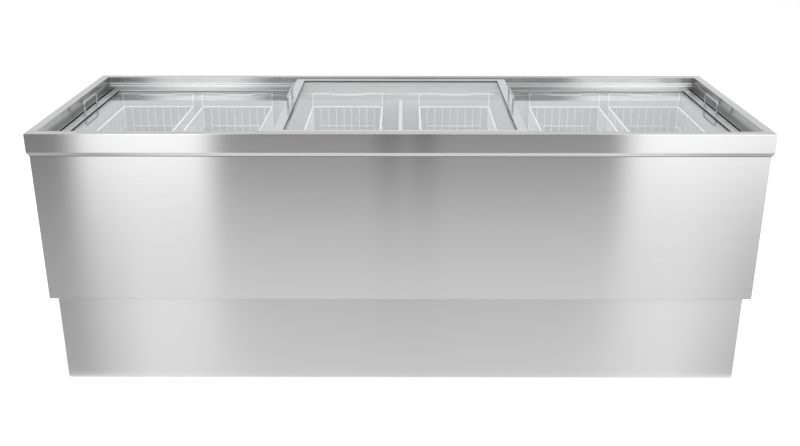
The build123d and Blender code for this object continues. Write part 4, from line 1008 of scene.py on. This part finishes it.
def reflected_sheet(name, rows):
    """A graded studio sheet that only mirrors show, so that the steel has dark and bright bands.

    Each row is a line across the sheet: where it lies, Y and Z, and its points, each an X and a level.
    """
    width = len(rows[0][2])
    corners = [(x, y, z) for y, z, points in rows for x, _ in points]
    faces = [
        (row * width + n, row * width + n + 1, (row + 1) * width + n + 1, (row + 1) * width + n)
        for row in range(len(rows) - 1)
        for n in range(width - 1)
    ]
    mesh = bpy.data.meshes.new(name)
    mesh.from_pydata(corners, [], faces)
    levels = mesh.attributes.new("level", "FLOAT", "POINT")
    levels.data.foreach_set("value", [level for _, _, points in rows for _, level in points])
    sheet = bpy.data.objects.new(name, mesh)
    bpy.context.scene.collection.objects.link(sheet)
    material = bpy.data.materials.new(name)
    material.use_nodes = True
    nodes = material.node_tree.nodes
    nodes.remove(nodes["Principled BSDF"])
    glow = add_node(material, "ShaderNodeEmission")
    level = add_node(material, "ShaderNodeAttribute")
    level.attribute_name = "level"
    wire_up(material, level.outputs["Fac"], glow.inputs["Strength"])
    wire_up(material, glow.outputs["Emission"], nodes["Material Output"].inputs["Surface"])
    mesh.materials.append(material)
    sheet.visible_camera = False
    sheet.visible_diffuse = False
    sheet.visible_shadow = False
    sheet.visible_transmission = False
    return sheet


def share_inside(slope, edges, soft):
    """1 between two edges and 0 outside them, with a soft change at each."""
    left, right = edges
    nearest = min(slope - left, right - slope)
    return min(1.0, max(0.0, nearest / soft + 0.5))


def sheet_columns():
    """Lines across the sheets: each one's slope, and the levels of floor and wall along it."""
    slopes = {-FAN_REACH, 0.0, FAN_REACH}
    changes = [(FLOOR_EDGES, FLOOR_SOFT)]
    changes += [(edges, GAP_SOFT) for edges in GAP_EDGES]
    changes += [(edges, PANEL_SOFT) for edges in PANEL_EDGES]
    for edges, soft in changes:
        slopes.update(edge + turn * soft / 2 for edge in edges for turn in (-1, 1))
    columns = []
    for slope in sorted(slopes):
        lit = max(share_inside(slope, edges, PANEL_SOFT) for edges in PANEL_EDGES)
        solid = 1.0 - max(share_inside(slope, edges, GAP_SOFT) for edges in GAP_EDGES)
        wall = solid * WALL_LEVEL + lit * (PANEL_LEVEL - WALL_LEVEL)
        middle = share_inside(slope, FLOOR_EDGES, FLOOR_SOFT)
        floor = FLOOR_SIDE_LEVEL + middle * (FLOOR_SHEET_LEVEL - FLOOR_SIDE_LEVEL)
        columns.append((slope, floor, wall))
    return columns


def make_sheets():
    """Four graded sheets, as the walls of a booth, the front and back ones with their floor."""
    columns = sheet_columns()
    front = []
    for distance, height, wall_share, gain in SHEET_ROWS:
        points = [
            (slope * (FAN_POINT + distance), gain * (floor + wall_share * (wall - floor)))
            for slope, floor, wall in columns
        ]
        front.append((-distance, height, points))
    reflected_sheet("front_sheet", front)
    back = [(-y, z, points) for y, z, points in front[:BACK_ROWS]]
    wall_y, _, bands = back[-1]
    plain = [(x, BACK_LEVEL) for x, _ in bands]
    back.append((wall_y, BACK_PLAIN_FROM - BACK_BLEND, bands))
    back.append((wall_y, BACK_PLAIN_FROM, plain))
    back.append((wall_y, SIDE_TOP, plain))
    reflected_sheet("back_sheet", back)
    for name, side in (("left_sheet", -1), ("right_sheet", 1)):
        wall = [(-SIDE_DISTANCE, z, SIDE_BANDS) for z in (SHEET_FOOT, SIDE_TOP)]
        reflected_sheet(name, wall).rotation_euler.z = math.radians(90.0 * side)


def make_lights():
    """Softboxes that mirrors don't show."""
    for name, place, target, size, power in SOFTBOXES:
        lamp = bpy.data.lights.new(name, "AREA")
        lamp.shape = "RECTANGLE"
        lamp.size, lamp.size_y = size
        lamp.energy = power
        thing = bpy.data.objects.new(name, lamp)
        bpy.context.scene.collection.objects.link(thing)
        thing.location = place
        thing.rotation_euler = (Vector(target) - Vector(place)).to_track_quat("-Z", "Y").to_euler()
        thing.visible_glossy = False


def make_camera():
    """The photograph's viewing angle."""
    data = bpy.data.cameras.new("camera")
    data.lens = CAMERA_LENS
    data.sensor_width = SENSOR_WIDTH
    camera = bpy.data.objects.new("camera", data)
    bpy.context.scene.collection.objects.link(camera)
    camera.location = CAMERA_PLACE
    camera.rotation_euler = (math.radians(CAMERA_TILT), 0.0, math.radians(CAMERA_TURN))
    bpy.context.scene.camera = camera


bpy.context.scene.view_settings.view_transform = "Standard"
make_camera()
make_world()
make_floor()
make_sheets()
make_lights()

chrome = chrome_plate()
white_moulding = moulded_plastic("white_moulding", WHITE_PLASTIC_COLOUR, 0.42)
black_rubber = dull_rubber("soft_black_rubber", BLACK_RUBBER_TONE, shine=0.0)
finish_steel()
finish_lids(chrome, black_rubber)
finish_inside(chrome, white_moulding, black_rubber)
wire_nodes = wire_row_tree()
make_baskets(wire_nodes)
make_fittings(wire_nodes, chrome, white_moulding, black_rubber)
